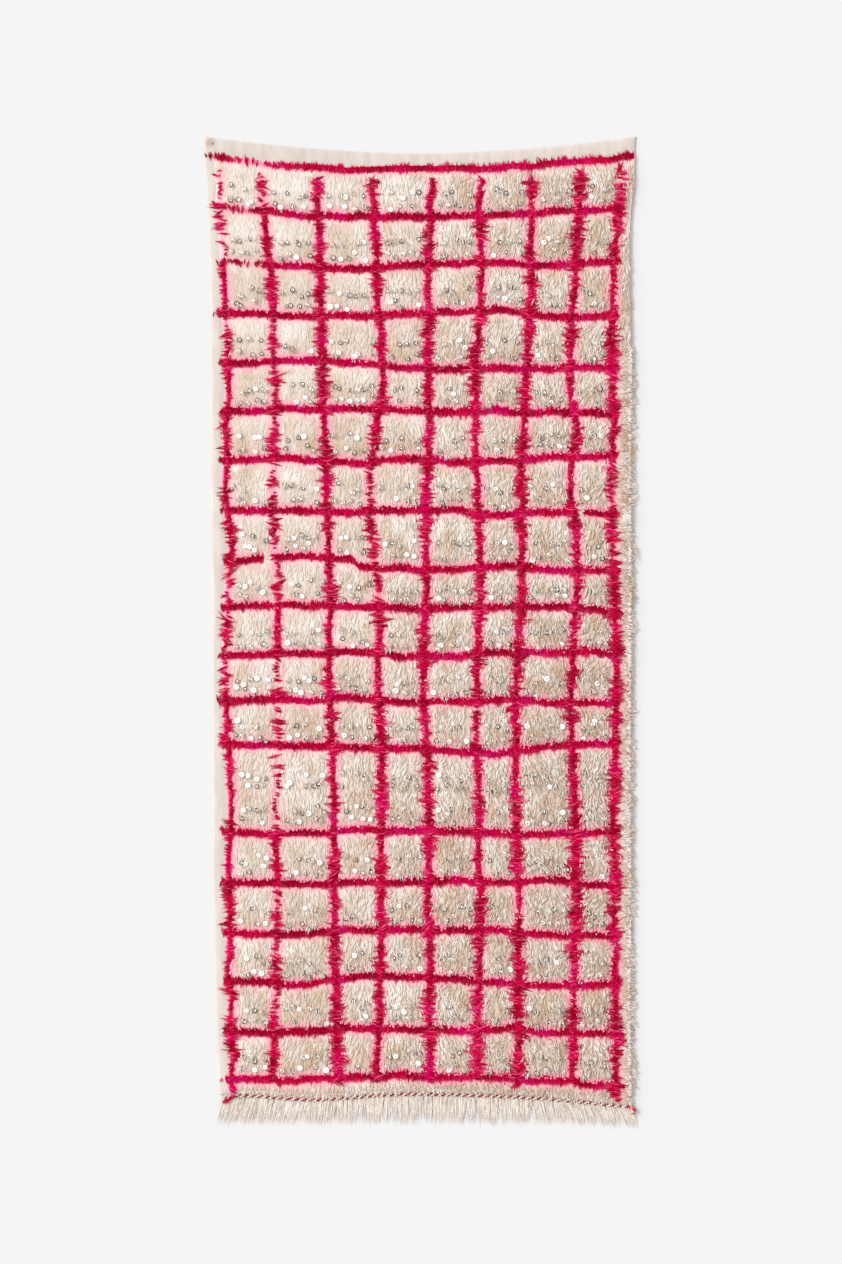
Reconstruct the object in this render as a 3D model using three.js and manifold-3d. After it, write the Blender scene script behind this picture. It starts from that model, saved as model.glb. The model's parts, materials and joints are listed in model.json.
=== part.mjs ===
// A handira: a long wool wedding blanket. It is one weaving, with a plain heading and left selvedge, an ivory
// fleece face, a grid of rose pile, and warp ends left as a fringe below a twined two-ply edge cord.
// Millimetres, +Z up. The blanket lies face up on z = 0, its heading towards +Y and its fringe towards -Y.
import * as THREE from "three";
import { mergeVertices } from "three/addons/utils/BufferGeometryUtils.js";
import Module from "manifold-3d";

const wasm = await Module();
wasm.setup();

// Driving dimensions
const CORNER_Y = 1213;
const HEADING_SAG = 41;
const HEADING_SAG_POWER = 1.8;
const HALF_WIDTH = 529;
const CLOTH_THICK = 3;
const PILE_LEFT = 9.5;
const PILE_RIGHT = 13.5;
const LINE_HALF_WIDTH = 13;
const PIECE_GAP = 0.3;
const HEM_GAP = 0.5;

// The two long edges: how far each stands from the middle line at a height along the blanket.
const SIDES = [
  { y: 1213, left: -529, right: 529 },
  { y: 1085, left: -523, right: 524 },
  { y: 1020, left: -519, right: 518 },
  { y: 880, left: -514, right: 516 },
  { y: 715, left: -511, right: 519 },
  { y: 445, left: -512, right: 517 },
  { y: 80, left: -509, right: 518 },
  { y: -290, left: -507, right: 516 },
  { y: -610, left: -506, right: 517 },
  { y: -900, left: -500, right: 516 },
  { y: -1075, left: -494, right: 517 },
  { y: -1165, left: -485, right: 519 },
];

// The lower end of the weaving, where the twined cord closes it.
const HEM = [
  { x: -485, y: -1134 },
  { x: -450, y: -1132 },
  { x: -270, y: -1141 },
  { x: -45, y: -1128 },
  { x: 120, y: -1130 },
  { x: 300, y: -1139 },
  { x: 445, y: -1152 },
  { x: 520, y: -1160 },
];

// The rose lines that run across, from the heading down, by their height at five places across.
const CROSS_LINES_X = { left: -480, midLeft: -240, middle: 0, midRight: 240, right: 480 };
const CROSS_LINES = [
  { left: 1160, midLeft: 1136, middle: 1132, midRight: 1139, right: 1161 },
  { left: 1037, midLeft: 1019, middle: 1017, midRight: 1024, right: 1038 },
  { left: 904, midLeft: 893, middle: 898, midRight: 902, right: 905 },
  { left: 782, midLeft: 775, middle: 780, midRight: 783, right: 775 },
  { left: 656, midLeft: 662, middle: 646, midRight: 646, right: 648 },
  { left: 539, midLeft: 546, middle: 541, midRight: 540, right: 534 },
  { left: 422, midLeft: 419, middle: 421, midRight: 421, right: 431 },
  { left: 295, midLeft: 296, middle: 297, midRight: 288, right: 290 },
  { left: 172, midLeft: 180, middle: 156, midRight: 158, right: 150 },
  { left: 62, midLeft: 65, middle: 58, midRight: 61, right: 53 },
  { left: -59, midLeft: -51, middle: -58, midRight: -50, right: -51 },
  { left: -169, midLeft: -165, middle: -171, midRight: -168, right: -169 },
  { left: -273, midLeft: -282, middle: -288, midRight: -293, right: -271 },
  { left: -487, midLeft: -491, middle: -487, midRight: -494, right: -488 },
  { left: -611, midLeft: -616, middle: -610, midRight: -614, right: -621 },
  { left: -737, midLeft: -736, middle: -730, midRight: -733, right: -743 },
  { left: -852, midLeft: -856, middle: -846, midRight: -861, right: -861 },
  { left: -979, midLeft: -975, middle: -972, midRight: -973, right: -983 },
  { left: -1095, midLeft: -1095, middle: -1087, midRight: -1095, right: -1112 },
];

// The rose lines that run along, from the left, by their place at five heights.
const LONG_LINES_Y = { top: 1083, upper: 480, middle: 0, lower: -530, bottom: -1040 };
const LONG_LINES = [
  { top: -492, upper: -472, middle: -473, lower: -467, bottom: -462 },
  { top: -386, upper: -357, middle: -347, lower: -351, bottom: -360 },
  { top: -252, upper: -230, middle: -221, lower: -210, bottom: -204 },
  { top: -118, upper: -107, middle: -102, lower: -95, bottom: -103 },
  { top: 29, upper: 22, middle: 13, lower: 21, bottom: 26 },
  { top: 146, upper: 135, middle: 143, lower: 142, bottom: 140 },
  { top: 271, upper: 252, middle: 245, lower: 238, bottom: 239 },
  { top: 393, upper: 380, middle: 377, lower: 380, bottom: 371 },
  { top: 490, upper: 473, middle: 478, lower: 476, bottom: 480 },
];

// How high each kind of station stands, as a share of the pile's height.
const LEVEL = { bare: 0, thin: 0.12, foot: 0.36, crown: 0.94, ridge: 1.04, rim: 0.42 };
const PILE_UNEVENNESS = 0.16;
const RIM_LEVEL_AT_LINE = 1.3 * LEVEL.rim;

// Where the fleece crowns in a cell, as shares of the way across it and down it. One cell is a tall one.
const CROWNS_ACROSS = [0.3, 0.7];
const CROWNS_DOWN = [0.55];
const CROWNS_DOWN_TALL = [0.25, 0.5, 0.78];
const TALL_CELL_BELOW_LINE = 12;

const RIM_LOCKS = {
  fromY: 700,
  toY: -1120,
  pitch: 29,
  root: 12,
  reachLeast: 4.5,
  reachSpread: 5,
  halfWidth: 7,
  halfWidthSpread: 0.4,
  halfThick: 2.6,
  rise: 0.05,
  swing: 0.5,
  swingDown: 0.6,
};
// Above the rim locks the right edge lies flatter, over this length.
const CALM_RIM = { over: 300, share: 0.5 };

const FRINGE = {
  count: 138,
  stripWidth: 7,
  stripThick: 2.6,
  stripSteps: 60,
  rootWidth: 5.2,
  midWidth: 4.2,
  tipWidth: 2.6,
  rootThick: 2.3,
  tipThick: 1.3,
  tipY: -1204,
  tipUnevenness: 7,
  tipDropRight: 9,
  midLean: 0.35,
  sway: 5,
  swayPeriod: 68,
  flareLeft: 20,
  flareRight: 9,
};

const CORD = {
  longRadius: 3.6,
  shortRadius: 2.4,
  pitch: 18,
  stepsPerPitch: 4,
  hemFrom: -452,
  hemTo: 505,
  hemSteps: 48,
};
const CORD_LEFT_TAIL = [
  { x: -489, y: -1156 },
  { x: -470, y: -1144 },
];
const CORD_RIGHT_TAIL = [
  { x: 521, y: -1166.5 },
  { x: 524.5, y: -1171 },
  { x: 521, y: -1178 },
];

const COLOURS = { blanket: 0xe1cbbb, fringe: 0xe0d4ca, edge_cord: 0xb8325c };

// A grid point depends on lines that lean, so it is settled in a few passes.
const SETTLING_PASSES = 4;
const MERGE_TOLERANCE = 1e-4;

const clamp01 = (t) => Math.min(1, Math.max(0, t));
const smooth = (t) => clamp01(t) ** 2 * (3 - 2 * clamp01(t));

// A repeatable number from 0 to 1 for a pair of counters.
function speckle(i, j) {
  const s = Math.sin(i * 127.1 + j * 311.7) * 43758.5453;
  return s - Math.floor(s);
}

// A value between the rows of a table, eased at each row.
function between(rows, key, value, at) {
  const rising = rows[0][key] < rows[rows.length - 1][key];
  const ordered = rising ? rows : [...rows].reverse();
  const last = ordered.length - 1;
  if (at <= ordered[0][key]) return ordered[0][value];
  if (at >= ordered[last][key]) return ordered[last][value];
  const k = ordered.findIndex((row) => row[key] >= at) - 1;
  const t = (at - ordered[k][key]) / (ordered[k + 1][key] - ordered[k][key]);
  return ordered[k][value] + (ordered[k + 1][value] - ordered[k][value]) * smooth(t);
}

const sideX = (side, y) => between(SIDES, "y", side, y);
const hemY = (x) => between(HEM, "x", "y", x);
const headingY = (x) =>
  CORNER_Y - HEADING_SAG + HEADING_SAG * Math.min(1, Math.abs(x / HALF_WIDTH)) ** HEADING_SAG_POWER;

// A line's course: a smooth curve through its place at each station, held past the first and last.
function courseOf(row, stations) {
  const names = Object.keys(stations);
  const marks = Object.values(stations);
  const last = marks.length - 1;
  const curve = new THREE.SplineCurve(names.map((name, k) => new THREE.Vector2(k, row[name])));
  return (at) => {
    const passed = marks.filter((mark) => (marks[last] > marks[0] ? mark <= at : mark >= at)).length;
    const k = Math.min(last - 1, Math.max(0, passed - 1));
    const t = clamp01((at - marks[k]) / (marks[k + 1] - marks[k]));
    return curve.getPoint((k + t) / last).y;
  };
}
const crossCourses = CROSS_LINES.map((row) => courseOf(row, CROSS_LINES_X));
const longCourses = LONG_LINES.map((row) => courseOf(row, LONG_LINES_Y));

// Stations across the blanket at a height: edge, selvedge, and for each long line its two feet and ridge,
// with the crowns of the fleece in each cell between lines.
function stationsAcross(y) {
  const left = sideX("left", y);
  const right = sideX("right", y);
  const w = LINE_HALF_WIDTH;
  const places = longCourses.map((course) => course(y));
  const out = [
    { at: left, kind: "bare" },
    { at: (left + places[0] - w) / 2, kind: "thin" },
  ];
  places.forEach((x, line) => {
    out.push({ at: x - w, kind: "foot" });
    out.push({ at: x, kind: "ridge" });
    out.push({ at: x + w, kind: "foot" });
    const next = places[line + 1];
    if (next === undefined) return;
    const span = next - x - 2 * w;
    CROWNS_ACROSS.forEach((share) => out.push({ at: x + w + span * share, kind: "crown" }));
  });
  const lastFoot = places[places.length - 1] + w;
  out.push({ at: (lastFoot + right) / 2, kind: "rim" });
  out.push({ at: right, kind: "rim" });
  return out;
}

// Stations along the blanket at a place across it, from the heading down to the hem.
function stationsAlong(x) {
  const w = LINE_HALF_WIDTH;
  const places = crossCourses.map((course) => course(x));
  const head = headingY(x);
  const out = [
    { at: head, kind: "bare" },
    { at: (head + places[0] + w) / 2, kind: "bare" },
  ];
  places.forEach((y, line) => {
    out.push({ at: y + w, kind: line === 0 ? "bare" : "foot" });
    out.push({ at: y, kind: "ridge" });
    out.push({ at: y - w, kind: "foot" });
    const next = places[line + 1];
    if (next === undefined) return;
    const span = y - next - 2 * w;
    const crowns = line === TALL_CELL_BELOW_LINE ? CROWNS_DOWN_TALL : CROWNS_DOWN;
    crowns.forEach((share) => out.push({ at: y - w - span * share, kind: "crown" }));
  });
  const lastFoot = places[places.length - 1] - w;
  out.push({ at: (lastFoot + hemY(x)) / 2, kind: "rim" });
  out.push({ at: hemY(x), kind: "rim" });
  return out;
}

// The face's height at a grid point, from the kinds of its two stations.
function faceHeight(across, along, i, j, x, y) {
  const shaggy = smooth((x + HALF_WIDTH) / (2 * HALF_WIDTH));
  const pile = PILE_LEFT + (PILE_RIGHT - PILE_LEFT) * shaggy;
  const calm = 1 - CALM_RIM.share * smooth((y - RIM_LOCKS.fromY) / CALM_RIM.over);
  const uneven = 1 + PILE_UNEVENNESS * (2 * speckle(i, j) - 1);
  let level = Math.min(LEVEL[across], LEVEL[along]);
  const onLine = across === "ridge" || along === "ridge";
  if (onLine && across !== "bare" && along !== "bare") level = LEVEL.ridge;
  if (along === "ridge" && across === "thin") level = LEVEL.foot;
  if (across === "rim" && along !== "bare") level = along === "ridge" ? RIM_LEVEL_AT_LINE : LEVEL.rim * calm;
  return CLOTH_THICK + pile * level * uneven;
}

// Boolean work on closed meshes
function solidOf(geometry) {
  const bare = geometry.clone();
  bare.deleteAttribute("normal");
  bare.deleteAttribute("uv");
  const merged = mergeVertices(bare, MERGE_TOLERANCE);
  return new wasm.Manifold(
    new wasm.Mesh({
      numProp: 3,
      vertProperties: new Float32Array(merged.attributes.position.array),
      triVerts: new Uint32Array(merged.index.array),
    }),
  );
}

function geometryOf(solid) {
  const mesh = solid.getMesh();
  const geometry = new THREE.BufferGeometry();
  geometry.setAttribute("position", new THREE.BufferAttribute(new Float32Array(mesh.vertProperties), 3));
  geometry.setIndex(new THREE.BufferAttribute(new Uint32Array(mesh.triVerts), 1));
  geometry.computeVertexNormals();
  return geometry;
}

// Where row j and column i of the grid cross, with the height of the face there.
function facePoint(i, j) {
  let x = stationsAcross(0)[i].at;
  let y = stationsAlong(x)[j].at;
  for (let pass = 0; pass < SETTLING_PASSES; pass++) {
    x = stationsAcross(y)[i].at;
    y = stationsAlong(x)[j].at;
  }
  const across = stationsAcross(y)[i].kind;
  const along = stationsAlong(x)[j].kind;
  return new THREE.Vector3(x, y, faceHeight(across, along, i, j, x, y));
}

// The woven slab: a lumpy face on a grid that follows the rose lines, a flat underside, and a wall round it.
function slabGeometry() {
  const columns = stationsAcross(0).length;
  const rows = stationsAlong(0).length;
  const points = [];
  for (let j = 0; j < rows; j++) {
    for (let i = 0; i < columns; i++) points.push(facePoint(i, j));
  }
  const index = [];
  for (let j = 0; j + 1 < rows; j++) {
    for (let i = 0; i + 1 < columns; i++) {
      const a = j * columns + i;
      const b = a + columns;
      if ((i + j) % 2) index.push(a, b, b + 1, a, b + 1, a + 1);
      else index.push(a, b, a + 1, b, b + 1, a + 1);
    }
  }
  // The rim runs anticlockwise, seen from above.
  const rim = [];
  for (let j = 0; j < rows - 1; j++) rim.push(j * columns);
  for (let i = 0; i < columns - 1; i++) rim.push((rows - 1) * columns + i);
  for (let j = rows - 1; j > 0; j--) rim.push(j * columns + columns - 1);
  for (let i = columns - 1; i > 0; i--) rim.push(i);
  const firstFoot = points.length;
  rim.forEach((k) => points.push(new THREE.Vector3(points[k].x, points[k].y, 0)));
  rim.forEach((top, k) => {
    const next = (k + 1) % rim.length;
    index.push(top, firstFoot + k, firstFoot + next, top, firstFoot + next, rim[next]);
  });
  const outline = rim.map((k) => new THREE.Vector2(points[k].x, points[k].y));
  THREE.ShapeUtils.triangulateShape(outline, []).forEach(([a, b, c]) => {
    index.push(firstFoot + a, firstFoot + c, firstFoot + b);
  });
  const geometry = new THREE.BufferGeometry().setFromPoints(points);
  geometry.setIndex(index);
  return geometry;
}

// One lock of fleece that stands out of the right edge and droops a little.
function rimLock(number) {
  const locks = RIM_LOCKS;
  const length = locks.root + locks.reachLeast + locks.reachSpread * speckle(number, 3);
  const widen = 1 + locks.halfWidthSpread * (speckle(number, 5) - 0.5);
  const lock = new THREE.ConeGeometry(1, length, 4, 1);
  lock.rotateY(Math.PI / 4);
  lock.scale(locks.halfWidth * widen, 1, locks.halfThick);
  lock.rotateZ(-Math.PI / 2);
  lock.rotateY(locks.rise);
  lock.rotateZ(locks.swing * (speckle(number, 7) - locks.swingDown));
  const y = locks.fromY - locks.pitch * (number + 0.5 * speckle(number, 11));
  lock.translate(sideX("right", y) - locks.root + length / 2, y, locks.halfThick + PIECE_GAP);
  return lock;
}

function blanketGeometry() {
  let solid = solidOf(slabGeometry());
  const count = Math.floor((RIM_LOCKS.fromY - RIM_LOCKS.toY) / RIM_LOCKS.pitch);
  for (let number = 0; number < count; number++) solid = solid.add(solidOf(rimLock(number)));
  return geometryOf(solid);
}

// One lock of warp ends: a three-sided taper that lies on the floor and leans with its neighbours.
function fringeLock(number) {
  const { rootWidth, midWidth, tipWidth, rootThick, tipThick, midLean } = FRINGE;
  const first = HEM[0].x + rootWidth;
  const last = HEM[HEM.length - 1].x - rootWidth;
  const share = number / (FRINGE.count - 1);
  const rootX = first + (last - first) * share;
  const rootY = hemY(rootX) - HEM_GAP - FRINGE.stripWidth / 2;
  const flare = FRINGE.flareRight * share ** 3 - FRINGE.flareLeft * (1 - share) ** 3;
  const lean = FRINGE.sway * Math.sin((rootX / FRINGE.swayPeriod) * 2 * Math.PI) + flare;
  const uneven = FRINGE.tipUnevenness * (speckle(number, 13) - 0.5);
  const tipY = FRINGE.tipY - uneven - FRINGE.tipDropRight * share ** 6;
  const rings = [
    { x: rootX, y: rootY, width: rootWidth, thick: rootThick },
    { x: rootX + lean * midLean, y: (rootY + tipY) / 2, width: midWidth, thick: rootThick },
    { x: rootX + lean, y: tipY, width: tipWidth, thick: tipThick },
  ];
  const points = rings.flatMap(({ x, y, width, thick }) => [
    new THREE.Vector3(x - width / 2, y, 0),
    new THREE.Vector3(x + width / 2, y, 0),
    new THREE.Vector3(x, y, thick),
  ]);
  return closedTube(points, 3);
}

// A closed tube through rings of corners that go round the same way, capped with fans at both ends.
function closedTube(points, sides) {
  const rings = points.length / sides;
  const index = [];
  for (let r = 0; r + 1 < rings; r++) {
    for (let s = 0; s < sides; s++) {
      const a = r * sides + s;
      const b = r * sides + ((s + 1) % sides);
      index.push(a, b, b + sides, a, b + sides, a + sides);
    }
  }
  const last = (rings - 1) * sides;
  for (let s = 1; s + 1 < sides; s++) {
    index.push(0, s + 1, s);
    index.push(last, last + s, last + s + 1);
  }
  const geometry = new THREE.BufferGeometry().setFromPoints(points);
  geometry.setIndex(index);
  return geometry;
}

// Evenly spaced numbers from one to another, both included.
function spread(from, to, steps) {
  return Array.from({ length: steps + 1 }, (_, k) => from + ((to - from) * k) / steps);
}

// The narrow strip of weaving that carries the warp ends, parted from the blanket's edge.
function fringeStrip() {
  const xs = spread(HEM[0].x, HEM[HEM.length - 1].x, FRINGE.stripSteps);
  const lower = xs.map((x) => new THREE.Vector2(x, hemY(x) - HEM_GAP - FRINGE.stripWidth));
  const upper = xs.map((x) => new THREE.Vector2(x, hemY(x) - HEM_GAP));
  const shape = new THREE.Shape([...lower, ...upper.reverse()]);
  return new THREE.ExtrudeGeometry(shape, { depth: FRINGE.stripThick, bevelEnabled: false });
}

function fringeGeometry() {
  let solid = solidOf(fringeStrip());
  for (let number = 0; number < FRINGE.count; number++) solid = solid.add(solidOf(fringeLock(number)));
  return geometryOf(solid);
}

// The cord's middle line: it lies on the fringe's strip along the hem, between two free tails.
function cordPath() {
  const inset = HEM_GAP + CORD.longRadius;
  const z = FRINGE.stripThick + PIECE_GAP + CORD.longRadius;
  const alongHem = spread(CORD.hemFrom, CORD.hemTo, CORD.hemSteps).map((x) => ({ x, y: hemY(x) - inset }));
  const marks = [...CORD_LEFT_TAIL, ...alongHem, ...CORD_RIGHT_TAIL];
  return new THREE.CatmullRomCurve3(marks.map(({ x, y }) => new THREE.Vector3(x, y, z)));
}

// The twined cord: its two plies show as a flat section that turns half a turn for each pitch.
function cordGeometry() {
  const path = cordPath();
  const steps = Math.round((path.getLength() / CORD.pitch) * CORD.stepsPerPitch);
  const up = new THREE.Vector3(0, 0, 1);
  const points = [];
  for (let k = 0; k <= steps; k++) {
    const centre = path.getPointAt(k / steps);
    const side = path.getTangentAt(k / steps).cross(up).normalize();
    const turn = (k / CORD.stepsPerPitch) * Math.PI;
    for (let corner = 0; corner < 4; corner++) {
      const angle = turn + (corner * Math.PI) / 2;
      const radius = corner % 2 ? CORD.shortRadius : CORD.longRadius;
      const point = centre.clone();
      point.addScaledVector(side, -radius * Math.cos(angle));
      point.addScaledVector(up, radius * Math.sin(angle));
      points.push(point);
    }
  }
  return closedTube(points, 4);
}

function piece(name, geometry) {
  const material = new THREE.MeshStandardMaterial({ color: COLOURS[name], roughness: 0.95, metalness: 0 });
  const mesh = new THREE.Mesh(geometry, material);
  mesh.name = name;
  return mesh;
}

const handira = new THREE.Group();
handira.add(
  piece("blanket", blanketGeometry()),
  piece("fringe", fringeGeometry()),
  piece("edge_cord", cordGeometry()),
);

export default handira;
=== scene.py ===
"""Dresses a handira wedding blanket: woven ground, fleece, rose pile, sequins, fringe and twined edge cord.

The blanket lies face up with its heading towards +Y. Every size is in metres.
"""

import json
import math

import bpy
import numpy as np
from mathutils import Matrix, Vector

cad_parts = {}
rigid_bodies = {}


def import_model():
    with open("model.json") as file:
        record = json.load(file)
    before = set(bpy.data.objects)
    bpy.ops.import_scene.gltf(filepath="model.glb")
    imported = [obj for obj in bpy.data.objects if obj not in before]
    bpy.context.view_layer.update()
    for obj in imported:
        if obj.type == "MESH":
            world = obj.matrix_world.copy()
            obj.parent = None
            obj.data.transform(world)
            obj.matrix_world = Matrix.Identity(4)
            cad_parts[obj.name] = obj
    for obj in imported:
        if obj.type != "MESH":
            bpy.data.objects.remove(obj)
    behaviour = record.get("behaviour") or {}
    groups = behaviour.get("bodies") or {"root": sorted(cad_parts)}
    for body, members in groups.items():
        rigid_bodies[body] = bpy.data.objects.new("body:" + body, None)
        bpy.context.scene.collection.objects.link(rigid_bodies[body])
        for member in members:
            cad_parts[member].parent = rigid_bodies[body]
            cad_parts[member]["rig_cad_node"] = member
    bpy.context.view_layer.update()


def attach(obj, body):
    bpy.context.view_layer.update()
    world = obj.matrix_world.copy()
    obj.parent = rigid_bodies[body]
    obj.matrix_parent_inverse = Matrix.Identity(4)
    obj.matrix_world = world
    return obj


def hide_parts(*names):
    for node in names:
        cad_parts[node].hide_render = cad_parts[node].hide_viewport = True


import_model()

bl_info = {
    "name": "Handira Wedding Blanket",
    "version": (1, 0, 0),
    "blender": (4, 5, 0),
    "location": "3D View > Sidebar > Handira",
    "description": "Makes the cloth, pile, sequins, fringe and edge cord of a handira wedding blanket",
    "category": "Add Mesh",
}

BODY = "root"
YARN = "yarn"
STRAND_MAP = "OFBake"

# The picture is 842 by 1264 pixels, and one pixel is this long on the blanket.
PIXEL = 0.00245
PICTURE_HEIGHT = 1264 * PIXEL
CAMERA_X = 0.0025
SENSOR = 0.036
FLOOR_HALF = 30.0
FLOOR_DROP = 0.0003
SOFTBOX_TOWARDS = (-0.78, 0.40, 0.62)
LOW_SOFTBOX_TOWARDS = (-0.86, 0.42, 0.26)

# The blanket's two long edges, from the hem up.
SIDES = np.array([
    # height, left, right
    (-1.165, -0.485, 0.519),
    (-1.075, -0.494, 0.517),
    (-0.900, -0.500, 0.516),
    (-0.610, -0.506, 0.517),
    (-0.290, -0.507, 0.516),
    (0.080, -0.509, 0.518),
    (0.445, -0.512, 0.517),
    (0.715, -0.511, 0.519),
    (0.880, -0.514, 0.516),
    (1.020, -0.519, 0.518),
    (1.085, -0.523, 0.524),
    (1.213, -0.529, 0.529),
])

# The lower end of the weaving, from left to right.
HEM = np.array([
    # across, height
    (-0.485, -1.134),
    (-0.450, -1.132),
    (-0.270, -1.141),
    (-0.045, -1.128),
    (0.120, -1.130),
    (0.300, -1.139),
    (0.445, -1.152),
    (0.520, -1.160),
])

# The heading hangs a little between its two corners.
CORNER_Y = 1.213
HALF_WIDTH = 0.529
HEADING_SAG = 0.041
HEADING_SAG_POWER = 1.8

# Rose lines that run across, from the heading down, by their height at eight places across.
CROSS_LINES_X = np.array([-0.470, -0.300, -0.160, -0.040, 0.085, 0.205, 0.310, 0.470])
CROSS_LINES = np.array([
    (1.159, 1.139, 1.132, 1.132, 1.133, 1.137, 1.146, 1.160),
    (1.040, 1.021, 1.017, 1.016, 1.018, 1.023, 1.026, 1.037),
    (0.905, 0.896, 0.889, 0.897, 0.902, 0.903, 0.899, 0.906),
    (0.781, 0.776, 0.774, 0.778, 0.783, 0.786, 0.773, 0.775),
    (0.658, 0.665, 0.658, 0.647, 0.644, 0.646, 0.646, 0.648),
    (0.539, 0.546, 0.545, 0.544, 0.537, 0.541, 0.537, 0.534),
    (0.422, 0.423, 0.414, 0.424, 0.417, 0.419, 0.426, 0.431),
    (0.295, 0.297, 0.294, 0.297, 0.297, 0.286, 0.292, 0.289),
    (0.172, 0.184, 0.171, 0.156, 0.155, 0.160, 0.154, 0.150),
    (0.062, 0.067, 0.062, 0.058, 0.059, 0.061, 0.063, 0.053),
    (-0.058, -0.052, -0.051, -0.058, -0.058, -0.050, -0.051, -0.049),
    (-0.168, -0.167, -0.162, -0.171, -0.170, -0.167, -0.173, -0.170),
    (-0.273, -0.281, -0.285, -0.285, -0.293, -0.295, -0.283, -0.271),
    (-0.487, -0.495, -0.485, -0.486, -0.488, -0.493, -0.495, -0.488),
    (-0.611, -0.617, -0.613, -0.611, -0.608, -0.615, -0.609, -0.621),
    (-0.737, -0.741, -0.729, -0.730, -0.729, -0.731, -0.742, -0.741),
    (-0.852, -0.862, -0.845, -0.846, -0.847, -0.859, -0.867, -0.861),
    (-0.979, -0.979, -0.969, -0.970, -0.974, -0.970, -0.981, -0.984),
    (-1.095, -1.098, -1.088, -1.087, -1.088, -1.094, -1.098, -1.112),
])
# One cross line steps down where the weaver changed row.
STEP = {"line": 8, "x": -0.157, "height": 0.011, "half_length": 0.010, "fades_over": 0.060}

# Rose lines that run along, from the left, by their place at eleven heights.
LONG_LINES_Y = np.array([-1.033, -0.671, -0.387, -0.113, 0.110, 0.234, 0.362, 0.483, 0.594, 0.838, 1.083])
LONG_LINES = np.array([
    (-0.462, -0.469, -0.466, -0.478, -0.468, -0.464, -0.476, -0.474, -0.471, -0.481, -0.492),
    (-0.360, -0.350, -0.352, -0.346, -0.348, -0.354, -0.359, -0.357, -0.356, -0.362, -0.386),
    (-0.204, -0.210, -0.210, -0.222, -0.220, -0.226, -0.230, -0.234, -0.238, -0.244, -0.252),
    (-0.103, -0.096, -0.093, -0.103, -0.102, -0.117, -0.123, -0.107, -0.094, -0.105, -0.118),
    (0.026, 0.021, 0.021, 0.009, 0.015, 0.013, 0.018, 0.023, 0.022, 0.020, 0.029),
    (0.140, 0.145, 0.140, 0.138, 0.147, 0.145, 0.139, 0.134, 0.133, 0.150, 0.146),
    (0.239, 0.242, 0.234, 0.239, 0.249, 0.250, 0.247, 0.254, 0.257, 0.271, 0.271),
    (0.371, 0.382, 0.378, 0.371, 0.382, 0.382, 0.366, 0.383, 0.368, 0.377, 0.393),
    (0.480, 0.477, 0.474, 0.480, 0.475, 0.471, 0.468, 0.474, 0.471, 0.472, 0.490),
])

# Where a cross line is thin or missing: line, from, to, share of its yarn that is there.
THIN_CROSS = (
    (0, -0.540, -0.450, 0.85),
    (0, -0.450, -0.340, 0.70),
    (0, -0.340, -0.290, 0.85),
    (1, -0.510, -0.400, 0.75),
    (2, -0.510, -0.387, 0.50),
    (7, 0.385, 0.402, 0.0),
    (8, -0.382, -0.350, 0.0),
    (9, -0.362, -0.338, 0.10),
)
# Where a long line is thin: line, first row, last row, share of its yarn that is there.
THIN_LONG = (
    (0, 0, 1, 0.60),
    (0, 3, 3, 0.80),
    (0, 8, 10, 0.80),
    (1, 0, 0, 0.75),
    (1, 3, 5, 0.85),
    (1, 6, 8, 0.70),
    (1, 10, 12, 0.55),
    (1, 14, 16, 0.80),
    (3, 6, 8, 0.80),
    (5, 11, 11, 0.80),
    (8, 0, 0, 0.70),
    (8, 6, 7, 0.85),
)
# Tufts are first spread over these stretches, and those past a line's ends are then left out.
CROSS_REACH = 0.54
LONG_FROM_Y = 1.16
LONG_TO_Y = -1.18
LONG_YARN = 2.36
# Where the lines are cut into two pieces.
CROSS_PARTED_AT = -0.01
LONG_PARTED_AT = 0.08
CROSS_LEFT_OVERHANG = 0.019
CROSS_RIGHT_OVERHANG = 0.013
LONG_TOP_GAP = 0.024
# How far each long line runs on below the last cross line, from the left.
LONG_STUBS = (0.036, 0.0, 0.016, 0.010, 0.014, 0.006, 0.018, 0.0, 0.036)
TALL_ROW = 12

# The brown mark at the top left corner: across, height, radius, strength.
CORNER_SPOTS = (
    (-0.514, 1.198, 0.016, 0.40),
    (-0.507, 1.196, 0.0045, 0.55),
)

# The fleece
CLOTH_TOP = 0.003
PILE_LEFT = 0.0095
PILE_RIGHT = 0.0135
BED_SHARE = 0.58
PILE_FROM = (-0.50, -1.16)
PILE_TO = (0.525, 1.15)
RIM_FROM_Y = 0.700
RIM_TO_Y = -1.16
RIM_HAIRS = 0.019
# Where the ivory pile is cut into pieces, from the heading down.
PILE_BANDS = (("top", 1.3, 0.62), ("upper", 0.62, 0.02), ("lower", 0.02, -0.56), ("bottom", -0.56, -1.3))
# Tufts that have come loose at the right side: across, height, direction in degrees, length, strands.
LOOSE_IVORY = (0.500, 0.290, -58.0, 0.032, 26)
LOOSE_ROSE = (0.500, -0.300, -6.0, 0.026, 3)

# Where the rows of sequins lie in a cell, as shares of its height from the top, and their gap to a long line.
CELL_ROWS = (0.55, 0.80)
TALL_CELL_ROWS = (0.34, 0.46, 0.74, 0.86)
SEQUIN_MARGIN = 0.019
# A sequin on its square of the map, face on the left and back on the right: middle, from radius, to radius.
SEQUIN_MAP = (
    (0.25, 0.03, 0.19),
    (0.25, 0.19, 0.23),
    (0.75, 0.20, 0.05),
    (0.75, 0.05, 0.02),
)

# The fringe's tips lie between these ends, a little lower at the right.
FRINGE_LEFT = -0.515
FRINGE_RIGHT = 0.535
FRINGE_TIP_Y = -1.209
FRINGE_FALL = 0.008
# A few ends lie over the cord instead of under it, and some are dark, as painted shade between the ends.
OVER_CORD_SHARE = 0.06
OVER_CORD_Z = 0.0112
SHADED_END_SHARE = 0.18

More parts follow.
